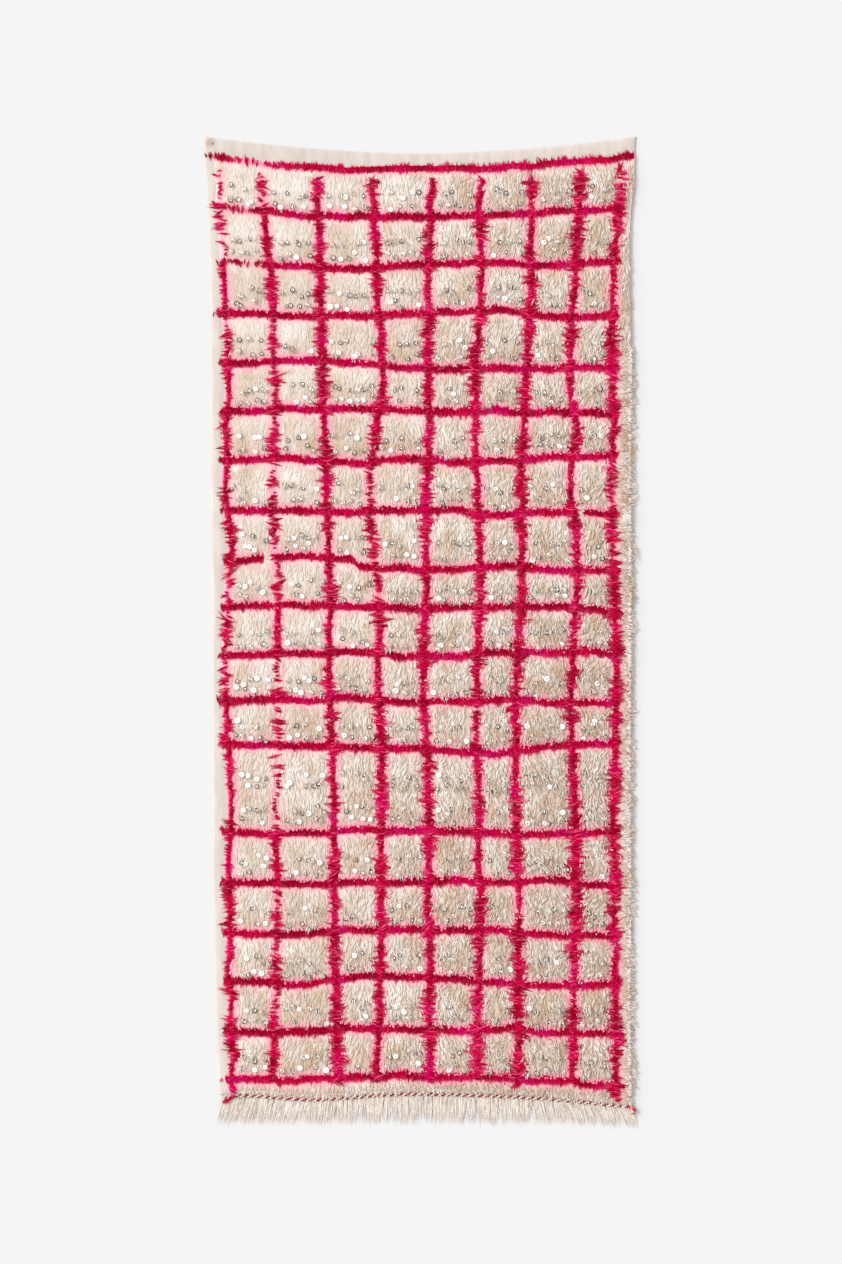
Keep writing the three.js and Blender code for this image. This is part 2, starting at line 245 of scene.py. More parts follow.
# The edge cord lies on the hem and ends in two free tails.
CORD_LEFT_TAIL = ((-0.482, -1.150), (-0.468, -1.141))
CORD_RIGHT_TAIL = ((0.521, -1.1665), (0.5245, -1.171), (0.521, -1.178))
CORD_HEM_FROM = -0.452
CORD_HEM_TO = 0.505
CORD_HEM_INSET = 0.0041
CORD_Z = 0.0065

# Frayed yarn along the cord's ends: from, to, strands, width in rose yarns, blush, rise.
FRAYED_TAILS = (
    ((-0.450, -1.132), (-0.481, -1.151), 46, 1.2, 0.16, 0.0055),
    ((0.500, -1.159), (0.526, -1.166), 18, 0.9, 0.50, 0.0048),
    ((0.526, -1.164), (0.522, -1.180), 16, 0.9, 0.60, 0.0034),
)

# The lines wander a little from their course, by up to half of this.
CROSS_SWAY = 0.0075
LONG_SWAY = 0.0070

# Soft random patches, each with the size of a patch and its seed.
CLOUDS = {
    "bed lump": (0.034, 11),
    "bed knot": (0.016, 12),
    "selvedge": (0.035, 21),
    "cloth ripple": (0.09, 22),
    "bed tone": (0.05, 31),
    "swirl": (0.06, 41),
    "curl": (0.022, 42),
    "tuft tone": (0.03, 43),
    "field tone": (0.11, 44),
    "rim tuft": (0.030, 45),
    "rim angle": (0.03, 46),
    "rim hair": (0.022, 47),
    "cross sway": (0.046, 51),
    "long sway": (0.052, 52),
    "cross fullness": (0.038, 53),
    "cross tone": (0.05, 54),
    "long fullness": (0.026, 55),
    "long droop": (0.040, 56),
    "long tone": (0.022, 57),
    "cross swirl": (0.03, 58),
    "long clump": (0.020, 59),
    "long wander": (0.018, 60),
    "dark ply tone": (0.02, 61),
    "pale ply tone": (0.02, 62),
    "cord turn": (0.05, 63),
    "cord fullness": (0.024, 64),
}
LATTICE = 64
# Each line takes its own strip of a cloud, this far from the next line's strip.
STRIP = 0.1
CROSS_SWAY_STRIP = 0.13
LONG_SWAY_STRIP = 0.17
CLUMP_STRIP = 0.21


def srgb(red, green, blue):
    """A colour written as 0 to 255, as linear light with alpha."""
    values = [channel / 255 for channel in (red, green, blue)]
    linear = [v / 12.92 if v <= 0.04045 else ((v + 0.055) / 1.055) ** 2.4 for v in values]
    return (*linear, 1.0)


# Places and measures of the weaving

def eased(t):
    """0 to 1, slow at both ends."""
    t = np.clip(t, 0, 1)
    return t * t * (3 - 2 * t)


def fade(distance, near, far):
    """1 up to near, easing to 0 at far."""
    return 1 - eased((distance - near) / (far - near))


def curve_through(stations, values, at):
    """A smooth curve through a row of stations, which runs straight on past its ends."""
    at = np.asarray(at, float)
    slopes = np.gradient(values, stations)
    k = np.clip(np.searchsorted(stations, at) - 1, 0, len(stations) - 2)
    gap = stations[k + 1] - stations[k]
    share = (at - stations[k]) / gap
    t = np.clip(share, 0, 1)
    start = values[k] * (1 + 2 * t) * (1 - t) ** 2 + slopes[k] * gap * t * (1 - t) ** 2
    end = values[k + 1] * t * t * (3 - 2 * t) - slopes[k + 1] * gap * t * t * (1 - t)
    end_slope = np.where(share > 1, slopes[k + 1], slopes[k])
    return start + end + (share - t) * gap * end_slope


def left_x(y):
    return curve_through(SIDES[:, 0], SIDES[:, 1], y)


def right_x(y):
    return curve_through(SIDES[:, 0], SIDES[:, 2], y)


def hem_y(x):
    return curve_through(HEM[:, 0], HEM[:, 1], x)


def heading_y(x):
    lift = np.minimum(np.abs(x / HALF_WIDTH), 1) ** HEADING_SAG_POWER
    return CORNER_Y - HEADING_SAG * (1 - lift)


def cross_y(line, x):
    y = curve_through(CROSS_LINES_X, CROSS_LINES[line], x)
    if line == STEP["line"]:
        past = np.asarray(x) - STEP["x"]
        fading = np.exp(-np.abs(past) / STEP["fades_over"])
        y = y - STEP["height"] * np.tanh(past / STEP["half_length"]) * fading
    return y + CROSS_SWAY * (cloud("cross sway", x, line * CROSS_SWAY_STRIP) - 0.5)


def long_x(line, y):
    x = curve_through(LONG_LINES_Y, LONG_LINES[line], y)
    return x + LONG_SWAY * (cloud("long sway", y, line * LONG_SWAY_STRIP) - 0.5)


def cross_share(line, x):
    """How much of a cross line's yarn is there at a place across: 0 past its ends, 1 where it is full."""
    x = np.asarray(x, float)
    y = cross_y(line, x)
    left = left_x(y) + 0.003 if line == 0 else long_x(0, y) - CROSS_LEFT_OVERHANG
    right = right_x(y) - 0.002 if line == 0 else long_x(len(LONG_LINES) - 1, y) + CROSS_RIGHT_OVERHANG
    share = np.where((x > left) & (x < right), 1.0, 0.0)
    for thin_line, start, end, there in THIN_CROSS:
        if thin_line == line:
            share = np.where((x > start) & (x < end), share * there, share)
    return share


def long_share(line, y):
    """How much of a long line's yarn is there at a height: 0 past its ends, 1 where it is full."""
    y = np.asarray(y, float)
    x = long_x(line, y)
    last = len(CROSS_LINES) - 1
    top = cross_y(0, x) - LONG_TOP_GAP
    bottom = np.maximum(cross_y(last, x) - LONG_STUBS[line], hem_y(x) + 0.002)
    share = np.where((y < top) & (y > bottom), 1.0, 0.0)
    for thin_line, first, final, there in THIN_LONG:
        if thin_line == line:
            upper = cross_y(first, x) - 0.006
            lower = cross_y(final + 1, x) + 0.006
            share = np.where((y < upper) & (y > lower), share * there, share)
    return share


def cross_near(x, y, core, reach):
    """How much rose of the cross lines lies at a place: their share within core, easing to 0 at reach."""
    most = np.zeros(np.shape(x))
    for line in range(len(CROSS_LINES)):
        most = np.maximum(most, cross_share(line, x) * fade(np.abs(y - cross_y(line, x)), core, reach))
    return most


def long_near(x, y, core, reach):
    """The same for the long lines."""
    most = np.zeros(np.shape(x))
    for line in range(len(LONG_LINES)):
        most = np.maximum(most, long_share(line, y) * fade(np.abs(x - long_x(line, y)), core, reach))
    return most


def rose_near(x, y, core, reach):
    return np.maximum(cross_near(x, y, core, reach), long_near(x, y, core, reach))


def room_below(x, y):
    """How far it is from a place down to the next cross line, or to the hem."""
    room = y - hem_y(x)
    for line in range(len(CROSS_LINES)):
        drop = y - cross_y(line, x)
        room = np.where((drop > 0) & (drop < room), drop, room)
    return room


def cloud(name, x, y=0.0):
    """A smooth random value from 0 to 1 that changes over about the size of the named cloud's patches."""
    size, seed = CLOUDS[name]
    lattice = np.random.default_rng(seed).random((LATTICE, LATTICE))
    u = np.asarray(x) / size
    v = np.asarray(y) / size
    i = np.floor(u).astype(int)
    j = np.floor(v).astype(int)
    s = eased(u - i)
    t = eased(v - j)
    i, next_i = i % LATTICE, (i + 1) % LATTICE
    j, next_j = j % LATTICE, (j + 1) % LATTICE
    lower = lattice[i, j] * (1 - s) + lattice[next_i, j] * s
    upper = lattice[i, next_j] * (1 - s) + lattice[next_i, next_j] * s
    return lower * (1 - t) + upper * t


def shagginess(x, y):
    """0 at the smooth left and top of the blanket, 1 at its shaggy right side."""
    across = eased((x + 0.45) / 0.90)
    down = eased((0.9 - y) / 1.8)
    return np.clip(0.65 * across + 0.35 * down, 0, 1)


def pile_share(x, y):
    """0 on the plain heading and selvedge, 1 where the pile stands."""
    from_left = eased((x - long_x(0, y) + 0.008) / 0.012)
    from_top = eased((cross_y(0, x) + 0.006 - y) / 0.014)
    return from_left * from_top


def cloth_z(x, y):
    """The height of the plain weave, which ripples a little where no pile stands."""
    return CLOTH_TOP + 0.0016 * cloud("cloth ripple", x, y) * (1 - pile_share(x, y))


def bed_z(x, y):
    """The height of the matted fleece that the pile stands on, or of the plain weave beside it."""
    pile = PILE_LEFT + (PILE_RIGHT - PILE_LEFT) * eased((x + HALF_WIDTH) / (2 * HALF_WIDTH))
    pillow = 0.62 + 0.38 * (1 - rose_near(x, y, 0.004, 0.040))
    lumps = 0.72 + 0.56 * (0.6 * cloud("bed lump", x, y) + 0.4 * cloud("bed knot", x, y))
    right_rim = 0.40 + 0.60 * eased((right_x(y) - x) / 0.030)
    hem_rim = 0.40 + 0.60 * eased((y - hem_y(x)) / 0.030)
    return cloth_z(x, y) + pile * BED_SHARE * pillow * lumps * right_rim * hem_rim * pile_share(x, y)


def resting_z(x, y):
    """The height on which a strand lies: on the blanket, over the edge cord or on the floor."""
    over_cord = (CORD_Z + 0.0028) * fade(hem_y(x) - y, 0.006, 0.011) * (np.abs(x) < -CORD_HEM_FROM)
    return np.where(inside_cloth(x, y), bed_z(x, y), over_cord)


# Meshes

def add_to_scene(name, data):
    """A new object in the scene with that mesh, lamp or camera."""
    added = bpy.data.objects.new(name, data)
    bpy.context.scene.collection.objects.link(added)
    return added


def new_object(name, points, faces, material, smooth=True):
    """A mesh object that rides with the blanket."""
    mesh = bpy.data.meshes.new(name)
    mesh.from_pydata(np.asarray(points).tolist(), [], [list(face) for face in faces])
    mesh.update()
    if smooth:
        mesh.shade_smooth()
    else:
        mesh.shade_flat()
    mesh.materials.append(material)
    piece = add_to_scene(name, mesh)
    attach(piece, BODY)
    return piece


def set_yarn(piece, tone, blush, along):
    """Stores three numbers at each point for the finish: light or dark, how rose it is, and root to tip."""
    layer = piece.data.color_attributes.new(YARN, "FLOAT_COLOR", "POINT")
    values = np.ones((len(piece.data.vertices), 4), np.float32)
    values[:, 0] = np.ravel(tone)
    values[:, 1] = np.ravel(blush)
    values[:, 2] = np.ravel(along)
    layer.data.foreach_set("color", values.ravel())


def settled_grid(across, down, left, right, top, bottom):
    """Where lines at these shares across and down meet, between four curved edges."""
    u, v = np.meshgrid(across, down)
    x = 2 * HALF_WIDTH * (u - 0.5)
    y = np.zeros_like(x)
    for _ in range(4):
        y = top(x) + (bottom(x) - top(x)) * v
        x = left(y) + (right(y) - left(y)) * u
    return x, y


def shares_between(gap, close, step):
    """Shares of a gap between two lines: the close distances beside each line, then about a step apart."""
    inner = max(round((gap - 2 * close[-1]) / step), 1)
    middle = np.linspace(close[-1], gap - close[-1], inner + 1)
    return np.concatenate([close[:-1], middle, gap - close[-2:0:-1]]) / gap


def marks_between(curves, gaps, close, step):
    """For each row of a grid, the number of the curve before it and its share of the way to the next one."""
    number = []
    share = []
    for curve, gap in enumerate(gaps):
        shares = shares_between(gap, close, step) if gap > 4 * close[-1] else np.arange(0, gap, step) / gap
        number.extend([curve] * len(shares))
        share.extend(shares)
    return np.array([*number, len(curves) - 2]), np.array([*share, 1.0])


def lined_grid(across, down, across_marks, down_marks):
    """Where the columns and rows of a grid meet, each at its share between two neighbouring curves."""
    column, column_share = across_marks
    row, row_share = down_marks
    x = np.zeros((len(row), len(column))) + np.linspace(-0.5, 0.5, len(column))
    y = np.zeros((len(row), len(column))) + np.linspace(1.1, -1.1, len(row))[:, None]
    for _ in range(4):
        at = np.stack([curve(y) for curve in across])
        before = np.take_along_axis(at, np.broadcast_to(column, x.shape)[None], 0)[0]
        after = np.take_along_axis(at, np.broadcast_to(column + 1, x.shape)[None], 0)[0]
        x = before + (after - before) * column_share
        at = np.stack([curve(x) for curve in down])
        before = np.take_along_axis(at, np.broadcast_to(row[:, None], x.shape)[None], 0)[0]
        after = np.take_along_axis(at, np.broadcast_to(row[:, None] + 1, x.shape)[None], 0)[0]
        y = before + (after - before) * row_share[:, None]
    return x, y


def grid_slab(x, y, top_z, under_z):
    """Points and faces of a closed slab: a top on the grid, a wall round its rim and a flat underside."""
    rows, columns = x.shape
    number = np.arange(rows * columns).reshape(rows, columns)
    top = np.stack([number[:-1, :-1], number[1:, :-1], number[1:, 1:], number[:-1, 1:]], -1).reshape(-1, 4)
    rim = np.concatenate([
        number[:-1, 0],
        number[-1, :-1],
        number[:0:-1, -1],
        number[0, :0:-1],
    ])
    points = np.stack([x.ravel(), y.ravel(), np.ravel(top_z)], 1)
    foot = points[rim].copy()
    foot[:, 2] = under_z
    middle = np.array([[foot[:, 0].mean(), foot[:, 1].mean(), under_z]])
    first = len(points)
    below = first + np.arange(len(rim))
    after = np.roll(below, -1)
    wall = np.stack([rim, below, after, np.roll(rim, -1)], 1)
    under = np.stack([below, np.full(len(rim), first + len(rim)), after], 1)
    return np.concatenate([points, foot, middle]), [*top.tolist(), *wall.tolist(), *under.tolist()]


def unit(vectors):
    """The same directions with length 1."""
    return vectors / np.maximum(np.linalg.norm(vectors, axis=-1, keepdims=True), 1e-6)


def give_each_a_place(piece, corners, count):
    """Lays the faces of each of many like parts on its own square of the piece's map."""
    cells = math.ceil(math.sqrt(count))
    cell = np.stack([np.arange(count) % cells, np.arange(count) // cells], 1)
    places = (cell[:, None, None] + corners[None]) / cells
    layer = piece.data.uv_layers.new(name=STRAND_MAP)
    layer.data.foreach_set("uv", places.astype(np.float32).ravel())


def strand_template(steps):
    """Faces and map corners of one strand: pointed at both ends, with three corners at each inner step."""
    tip = 1 + 3 * (steps - 2)
    last = steps - 1
    faces = []
    corners = []
    for side in range(3):
        low = side / 3 + 0.02
        high = (side + 1) / 3 - 0.02
        middle = (low + high) / 2
        after = (side + 1) % 3
        faces.append((0, 1 + side, 1 + after))
        corners.append(((middle, 0.03), (low, 1 / last), (high, 1 / last)))
        for ring in range(steps - 3):
            a = 1 + 3 * ring + side
            b = 1 + 3 * ring + after
            v0 = (ring + 1) / last
            v1 = (ring + 2) / last
            faces.append((a, a + 3, b + 3))
            corners.append(((low, v0), (low, v1), (high, v1)))
            faces.append((a, b + 3, b))
            corners.append(((low, v0), (high, v1), (high, v0)))
        a = tip - 3 + side
        b = tip - 3 + after
        v0 = (last - 1) / last
        faces.append((a, tip, b))
        corners.append(((low, v0), (middle, 0.97), (high, v0)))
    return np.array(faces), np.array(corners)


def strand_piece(name, spines, widths, tone, blush, material, plumpness=0.3, unshaded_root=0.0):
    """One mesh of many closed strands, each along its own spine. Each strand has its own place on the map.

    Blush is given at each step of each spine. Unshaded root is how little painted shade darkens a strand at
    its root.
    """
    count, steps, _ = spines.shape
    along = unit(spines[:, 2:] - spines[:, :-2])
    side = unit(np.stack([along[..., 1], -along[..., 0], np.zeros(along.shape[:2])], -1))
    up = np.cross(side, along)
    inner = spines[:, 1:-1]
    half = (widths / 2)[..., None]
    crest = up * half * 2 * np.broadcast_to(plumpness, count)[:, None, None]
    rings = np.stack([inner - side * half, inner + side * half, inner + crest], 2)
    points = np.concatenate([spines[:, :1], rings.reshape(count, -1, 3), spines[:, -1:]], 1)
    faces, corners = strand_template(steps)
    per_strand = points.shape[1]
    every_face = (faces[None] + per_strand * np.arange(count)[:, None, None]).reshape(-1, 3)
    piece = new_object(name, points.reshape(-1, 3), every_face.tolist(), material, smooth=False)
    step_of_point = np.array([0, *np.repeat(np.arange(1, steps - 1), 3), steps - 1])
    share = np.linspace(0, 1, steps)[step_of_point]
    from_root = share[None] + np.broadcast_to(unshaded_root, count)[:, None] * (1 - share[None])
    set_yarn(piece, np.repeat(tone, per_strand), np.asarray(blush)[:, step_of_point], from_root)
    give_each_a_place(piece, corners, count)
    return piece


def plain_strands(name, spines, width, tone, material, unshaded_root, plumpness=0.3):
    """Strands of three steps with no blush, all of one width or each of its own."""
    widths = np.broadcast_to(width, len(spines))[:, None]
    blush = np.zeros((len(spines), 3))
    return strand_piece(name, spines, widths, tone, blush, material, plumpness, unshaded_root)


def reached(start, angle, reach):
    """Where strands end that start there and run that far in that direction."""
    return start + np.stack([np.cos(angle) * reach, np.sin(angle) * reach], 1)


def strand_pieces(parts, material, spines, widths, tone, blush, plumpness, unshaded_root):
    """Several pieces from one lot of strands. Each part is a name and which of the strands it holds."""
    plumpness, unshaded_root = (np.broadcast_to(value, len(spines)) for value in (plumpness, unshaded_root))
    pieces = []
    for name, here in parts:
        own_spines, own_widths, own_tone, own_blush = spines[here], widths[here], tone[here], blush[here]
        pieces.append(strand_piece(
            name, own_spines, own_widths, own_tone, own_blush, material, plumpness[here], unshaded_root[here]
        ))
    return pieces


def tuft_strands(chance, x, y, angle, length, each, root_width, tip_width, behind=0.0):
    """Where the strands of many tufts start and end: spread at the root, gathered at the tip.

    Behind is the share of its length by which a tuft starts behind its place.
    """
    x, y, angle, length, root_width, tip_width = (
        np.repeat(np.broadcast_to(v, len(x)), each) for v in (x, y, angle, length, root_width, tip_width)
    )
    count = len(x)
    across = chance.uniform(-0.5, 0.5, count)
    reach = length * (1 - behind) * chance.uniform(0.78, 1.12, count)
    start = length * (chance.uniform(-0.18, 0.18, count) - behind)
    forward = np.stack([np.cos(angle), np.sin(angle)], 1)
    side = np.stack([-np.sin(angle), np.cos(angle)], 1)
    root = np.stack([x, y], 1) + forward * start[:, None] + side * (across * root_width)[:, None]
    tip = np.stack([x, y], 1) + forward * reach[:, None] + side * (across * tip_width)[:, None]
    return root, tip


def lying_spines(root, tip, lift, tip_lift, bulge=0.0, steps=3, root_depth=0.0004):
    """Spines from root to tip that follow the fleece, lifted above it in the middle and bent to one side."""
    run = tip - root
    bend = np.stack([-run[:, 1], run[:, 0]], 1) * np.broadcast_to(bulge, len(root))[:, None]
    spines = np.zeros((len(root), steps, 3))
    for step, share in enumerate(np.linspace(0, 1, steps)):
        arch = 4 * share * (1 - share)
        at = root + run * share + bend * arch
        rise = np.where(share == 0, -root_depth, lift * arch + tip_lift * share * share)
        spines[:, step, :2] = at
        spines[:, step, 2] = np.maximum(resting_z(at[:, 0], at[:, 1]) + rise, 0.0006)
    return spines


def blush_along(spines, core, reach, strength):
    """How pink each step of each spine is, from how near to a rose line it lies."""
    near = [rose_near(spines[:, k, 0], spines[:, k, 1], core, reach) for k in range(spines.shape[1])]
    return np.stack(near, 1) * strength[:, None]


def inside_cloth(x, y):
    return (x > left_x(y)) & (x < right_x(y)) & (y > hem_y(x)) & (y < heading_y(x))


def tube(path, radius, sides, tip_radius):
    """Points and faces of a closed round tube along a path, drawn in at both ends."""
    along = unit(np.gradient(path, axis=0))
    side = unit(np.cross(along, (0, 0, 1)))
    up = np.cross(side, along)
    radii = np.broadcast_to(radius, len(path)).copy()
    radii[0] = tip_radius
    radii[-1] = tip_radius
    turn = 2 * np.pi * np.arange(sides) / sides
    ring = np.cos(turn)[None, :, None] * side[:, None] + np.sin(turn)[None, :, None] * up[:, None]
    points = (path[:, None] + ring * radii[:, None, None]).reshape(-1, 3)
    faces = []
    for step in range(len(path) - 1):
        for k in range(sides):
            a = step * sides + k
            b = step * sides + (k + 1) % sides
            faces.append((a, b, b + sides, a + sides))
    faces.append(tuple(range(sides - 1, -1, -1)))
    last = (len(path) - 1) * sides
    faces.append(tuple(range(last, last + sides)))
    return points, faces


# Finishes

def link_or_set(tree, socket, value):
    """Joins a socket to another, or gives it a plain value."""
    if isinstance(value, bpy.types.NodeSocket):
        tree.links.new(value, socket)
    else:
        socket.default_value = value


def colour_mix(tree, share, first, second, way="MIX"):
    """The colour between two colours, or one colour times another."""
    node = tree.nodes.new("ShaderNodeMix")
    node.data_type = "RGBA"
    node.blend_type = way
    link_or_set(tree, node.inputs["Factor"], share)
    link_or_set(tree, node.inputs[6], first)
    link_or_set(tree, node.inputs[7], second)
    return node.outputs[2]


def arithmetic(tree, way, first, second=0.0, clamp=False):
    """One sum on two numbers."""
    node = tree.nodes.new("ShaderNodeMath")
    node.operation = way
    node.use_clamp = clamp
    link_or_set(tree, node.inputs[0], first)
    link_or_set(tree, node.inputs[1], second)
    return node.outputs[0]


def remap(tree, value, low, high, to_low=0.0, to_high=1.0):
    """Eases a number from one range to another."""
    node = tree.nodes.new("ShaderNodeMapRange")
    node.interpolation_type = "SMOOTHSTEP"
    link_or_set(tree, node.inputs["Value"], value)
    node.inputs["From Min"].default_value = low
    node.inputs["From Max"].default_value = high
    node.inputs["To Min"].default_value = to_low
    node.inputs["To Max"].default_value = to_high
    return node.outputs["Result"]


def place(tree, stretch=(1, 1, 1)):
    """The place on the blanket, stretched along each axis."""
    coordinates = tree.nodes.new("ShaderNodeTexCoord")
    mapping = tree.nodes.new("ShaderNodeMapping")
    mapping.inputs["Scale"].default_value = stretch
    tree.links.new(coordinates.outputs["Object"], mapping.inputs["Vector"])
    return mapping.outputs["Vector"]


def fibres(tree, stretch, scale, detail=3.0):
    """Fine streaks from 0 to 1."""
    noise = tree.nodes.new("ShaderNodeTexNoise")
    noise.inputs["Scale"].default_value = scale
    noise.inputs["Detail"].default_value = detail
    tree.links.new(place(tree, stretch), noise.inputs["Vector"])
    return noise.outputs["Fac"]


def stirred(tree, value, streaks, strength):
    """A number from 0 to 1 that streaks push up and down."""
    node = tree.nodes.new("ShaderNodeMath")
    node.operation = "MULTIPLY_ADD"
    tree.links.new(streaks, node.inputs[0])
    node.inputs[1].default_value = strength
    link_or_set(tree, node.inputs[2], value)
    return remap(tree, node.outputs[0], strength / 2, 1 + strength / 2)


def yarn_numbers(tree):
    """The three numbers that set_yarn stored: tone, blush, along."""
    attribute = tree.nodes.new("ShaderNodeAttribute")
    attribute.attribute_name = YARN
    split = tree.nodes.new("ShaderNodeSeparateColor")
    tree.links.new(attribute.outputs["Color"], split.inputs["Color"])
    return split.outputs[0], split.outputs[1], split.outputs[2]


def new_finish(name, roughness, sheen=0.0, specular=0.25):
    material = bpy.data.materials.new(name)
    material.use_nodes = True
    shader = material.node_tree.nodes["Principled BSDF"]
    shader.inputs["Roughness"].default_value = roughness
    shader.inputs["Sheen Weight"].default_value = sheen
    shader.inputs["Sheen Roughness"].default_value = 0.6
    shader.inputs["Specular IOR Level"].default_value = specular
    return material, material.node_tree, shader


def add_bump(tree, shader, height, distance, strength):
    bump = tree.nodes.new("ShaderNodeBump")
    bump.inputs["Strength"].default_value = strength
    bump.inputs["Distance"].default_value = distance
    tree.links.new(height, bump.inputs["Height"])
    tree.links.new(bump.outputs["Normal"], shader.inputs["Normal"])


def shade_wool(tree, shader, wool, painted_root_shade, fibre, distance, strength):
    """Gives a finish its wool, darkened towards the roots by painted shade, with fine fibres."""
    shaded = colour_mix(tree, 1.0, wool, painted_root_shade, "MULTIPLY")
    tree.links.new(shaded, shader.inputs["Base Color"])
    add_bump(tree, shader, fibre, distance, strength)


def ivory_wool_colour(tree, colours, tone, streaks, strength):
    """Undyed wool from dark to light, with soft tan patches."""
    wool = colour_mix(tree, stirred(tree, tone, streaks, strength), colours.ivory_dark, colours.ivory_light)
    patches = remap(tree, fibres(tree, (1.0, 0.7, 1.0), 20.0, 4.0), 0.50, 0.72, 0.0, 0.55)
    return colour_mix(tree, patches, wool, colours.ivory_tan)


def ivory_fleece_finish(colours):
    """Combed ivory wool that takes a pink blush beside the rose lines."""
    material, tree, shader = new_finish("ivory_fleece", roughness=0.9, specular=0.1)
    tone, blush, along = yarn_numbers(tree)
    streaks = fibres(tree, (1.0, 0.16, 1.0), 900.0)
    wool = ivory_wool_colour(tree, colours, tone, streaks, 0.42)
    pinked = colour_mix(tree, blush, wool, colours.blush)
    # Painted shade: the ivory wool darkens towards each strand's root.
    painted_root_shade = remap(tree, along, 0.0, 0.7, 0.70, 1.0)
    shade_wool(tree, shader, pinked, painted_root_shade, streaks, 0.0005, 0.4)
    return material


def rose_pile_finish(colours, name, stretch):
    """Rose wool from crimson to magenta, worn pink where its blush says so."""
    material, tree, shader = new_finish(name, roughness=0.95, specular=0.0)
    tone, blush, along = yarn_numbers(tree)
    streaks = fibres(tree, stretch, 900.0)
    deep = colour_mix(tree, remap(tree, tone, 0.0, 0.5), colours.rose_dark, colours.rose)
    wool = colour_mix(tree, remap(tree, tone, 0.45, 1.0), deep, colours.rose_bright)
    tips = colour_mix(tree, blush, wool, colours.rose_tip)
    # Painted shade: the rose wool darkens towards each strand's root, broken up by the fibre streaks.
    painted_root_shade = stirred(tree, remap(tree, along, 0.0, 0.6, 0.72, 1.0), streaks, 0.3)
    shade_wool(tree, shader, tips, painted_root_shade, streaks, 0.0005, 0.4)
    return material


def fleece_bed_finish(colours):
    """The matted foot of the pile: ivory, pink beside the lines and rose under them."""
    material, tree, shader = new_finish("fleece_bed", roughness=0.95, specular=0.05)
    tone, blush, _ = yarn_numbers(tree)
    streaks = fibres(tree, (1.0, 0.22, 1.0), 420.0)
    wool = ivory_wool_colour(tree, colours, tone, streaks, 0.7)
    uneven = stirred(tree, blush, streaks, 0.35)
    pinked = colour_mix(tree, remap(tree, uneven, 0.0, 0.55), wool, colours.blush)
    rosy = colour_mix(tree, remap(tree, uneven, 0.55, 1.0), pinked, colours.rose)
    tree.links.new(rosy, shader.inputs["Base Color"])
    add_bump(tree, shader, streaks, 0.0016, 0.8)
    return material


def bands(tree, direction, scale, distortion, detail_scale):
    """Wavy bands from 0 to 1."""
    wave = tree.nodes.new("ShaderNodeTexWave")
    wave.bands_direction = direction
    wave.inputs["Scale"].default_value = scale
    wave.inputs["Distortion"].default_value = distortion
    wave.inputs["Detail"].default_value = 2.0
    wave.inputs["Detail Scale"].default_value = detail_scale
    tree.links.new(place(tree), wave.inputs["Vector"])
    return wave.outputs["Fac"]


def ground_cloth_finish(colours):
    """Plain weave of undyed wool, with one brown mark at the top left corner."""
    material, tree, shader = new_finish("plain_weave", roughness=0.9, sheen=0.1)
    picks = bands(tree, "Y", scale=140.0, distortion=1.2, detail_scale=1.5)
    ends = bands(tree, "X", scale=110.0, distortion=0.8, detail_scale=1.0)
    weave = arithmetic(tree, "MULTIPLY", picks, ends)
    slubs = fibres(tree, (1.0, 0.25, 1.0), 60.0, 4.0)
    # Painted shade: the furrows of the weave are darker than its crests; the slubs vary the yarn itself.
    light = remap(tree, arithmetic(tree, "ADD", arithmetic(tree, "MULTIPLY", weave, 0.5), slubs), 0.3, 1.0)
    wool = colour_mix(tree, light, colours.cloth_dark, colours.cloth_light)
    stained = colour_mix(tree, corner_mark(tree), wool, colours.stain)
    tree.links.new(stained, shader.inputs["Base Color"])
    add_bump(tree, shader, weave, 0.0008, 0.7)
    return material


def corner_mark(tree):
    """How much of the brown corner mark lies at a place: a soft patch with a small dark spot in it."""
    spots = []
    for x, y, radius, strength in CORNER_SPOTS:
        distance = tree.nodes.new("ShaderNodeVectorMath")
        distance.operation = "DISTANCE"
        distance.inputs[1].default_value = (x, y, CLOTH_TOP)
        tree.links.new(place(tree), distance.inputs[0])
        spots.append(remap(tree, distance.outputs["Value"], 0.2 * radius, radius, strength, 0.0))
    return arithmetic(tree, "ADD", spots[0], spots[1], clamp=True)


def warp_yarn_finish(colours):
    """Spun warp ends, pale or darkened as painted shade, with more painted shade where they leave the
    weaving.
    """
    material, tree, shader = new_finish("warp_yarn", roughness=0.8, sheen=0.1)
    tone, _, along = yarn_numbers(tree)
    ply = fibres(tree, (1.0, 0.3, 1.0), 1100.0)
    wool = colour_mix(tree, tone, colours.fringe_dark, colours.fringe_light)
    # Painted shade: each end darkens where it leaves the weaving.
    painted_root_shade = remap(tree, along, 0.0, 0.35, 0.82, 1.0)
    shade_wool(tree, shader, wool, painted_root_shade, ply, 0.0003, 0.3)
    return material


def twined_cord_finish(colours):
    """One ply of dark rose wool and one of pale wool."""
    material, tree, shader = new_finish("twined_cord", roughness=0.8, sheen=0.1)
    tone, blush, _ = yarn_numbers(tree)
    rose = colour_mix(tree, remap(tree, tone, 0.2, 1.4), colours.cord_dark, colours.rose)
    wool = colour_mix(tree, blush, colours.cord_pale, rose)
    tree.links.new(wool, shader.inputs["Base Color"])
    add_bump(tree, shader, fibres(tree, (1.0, 1.0, 1.0), 1400.0), 0.0004, 0.6)
    return material


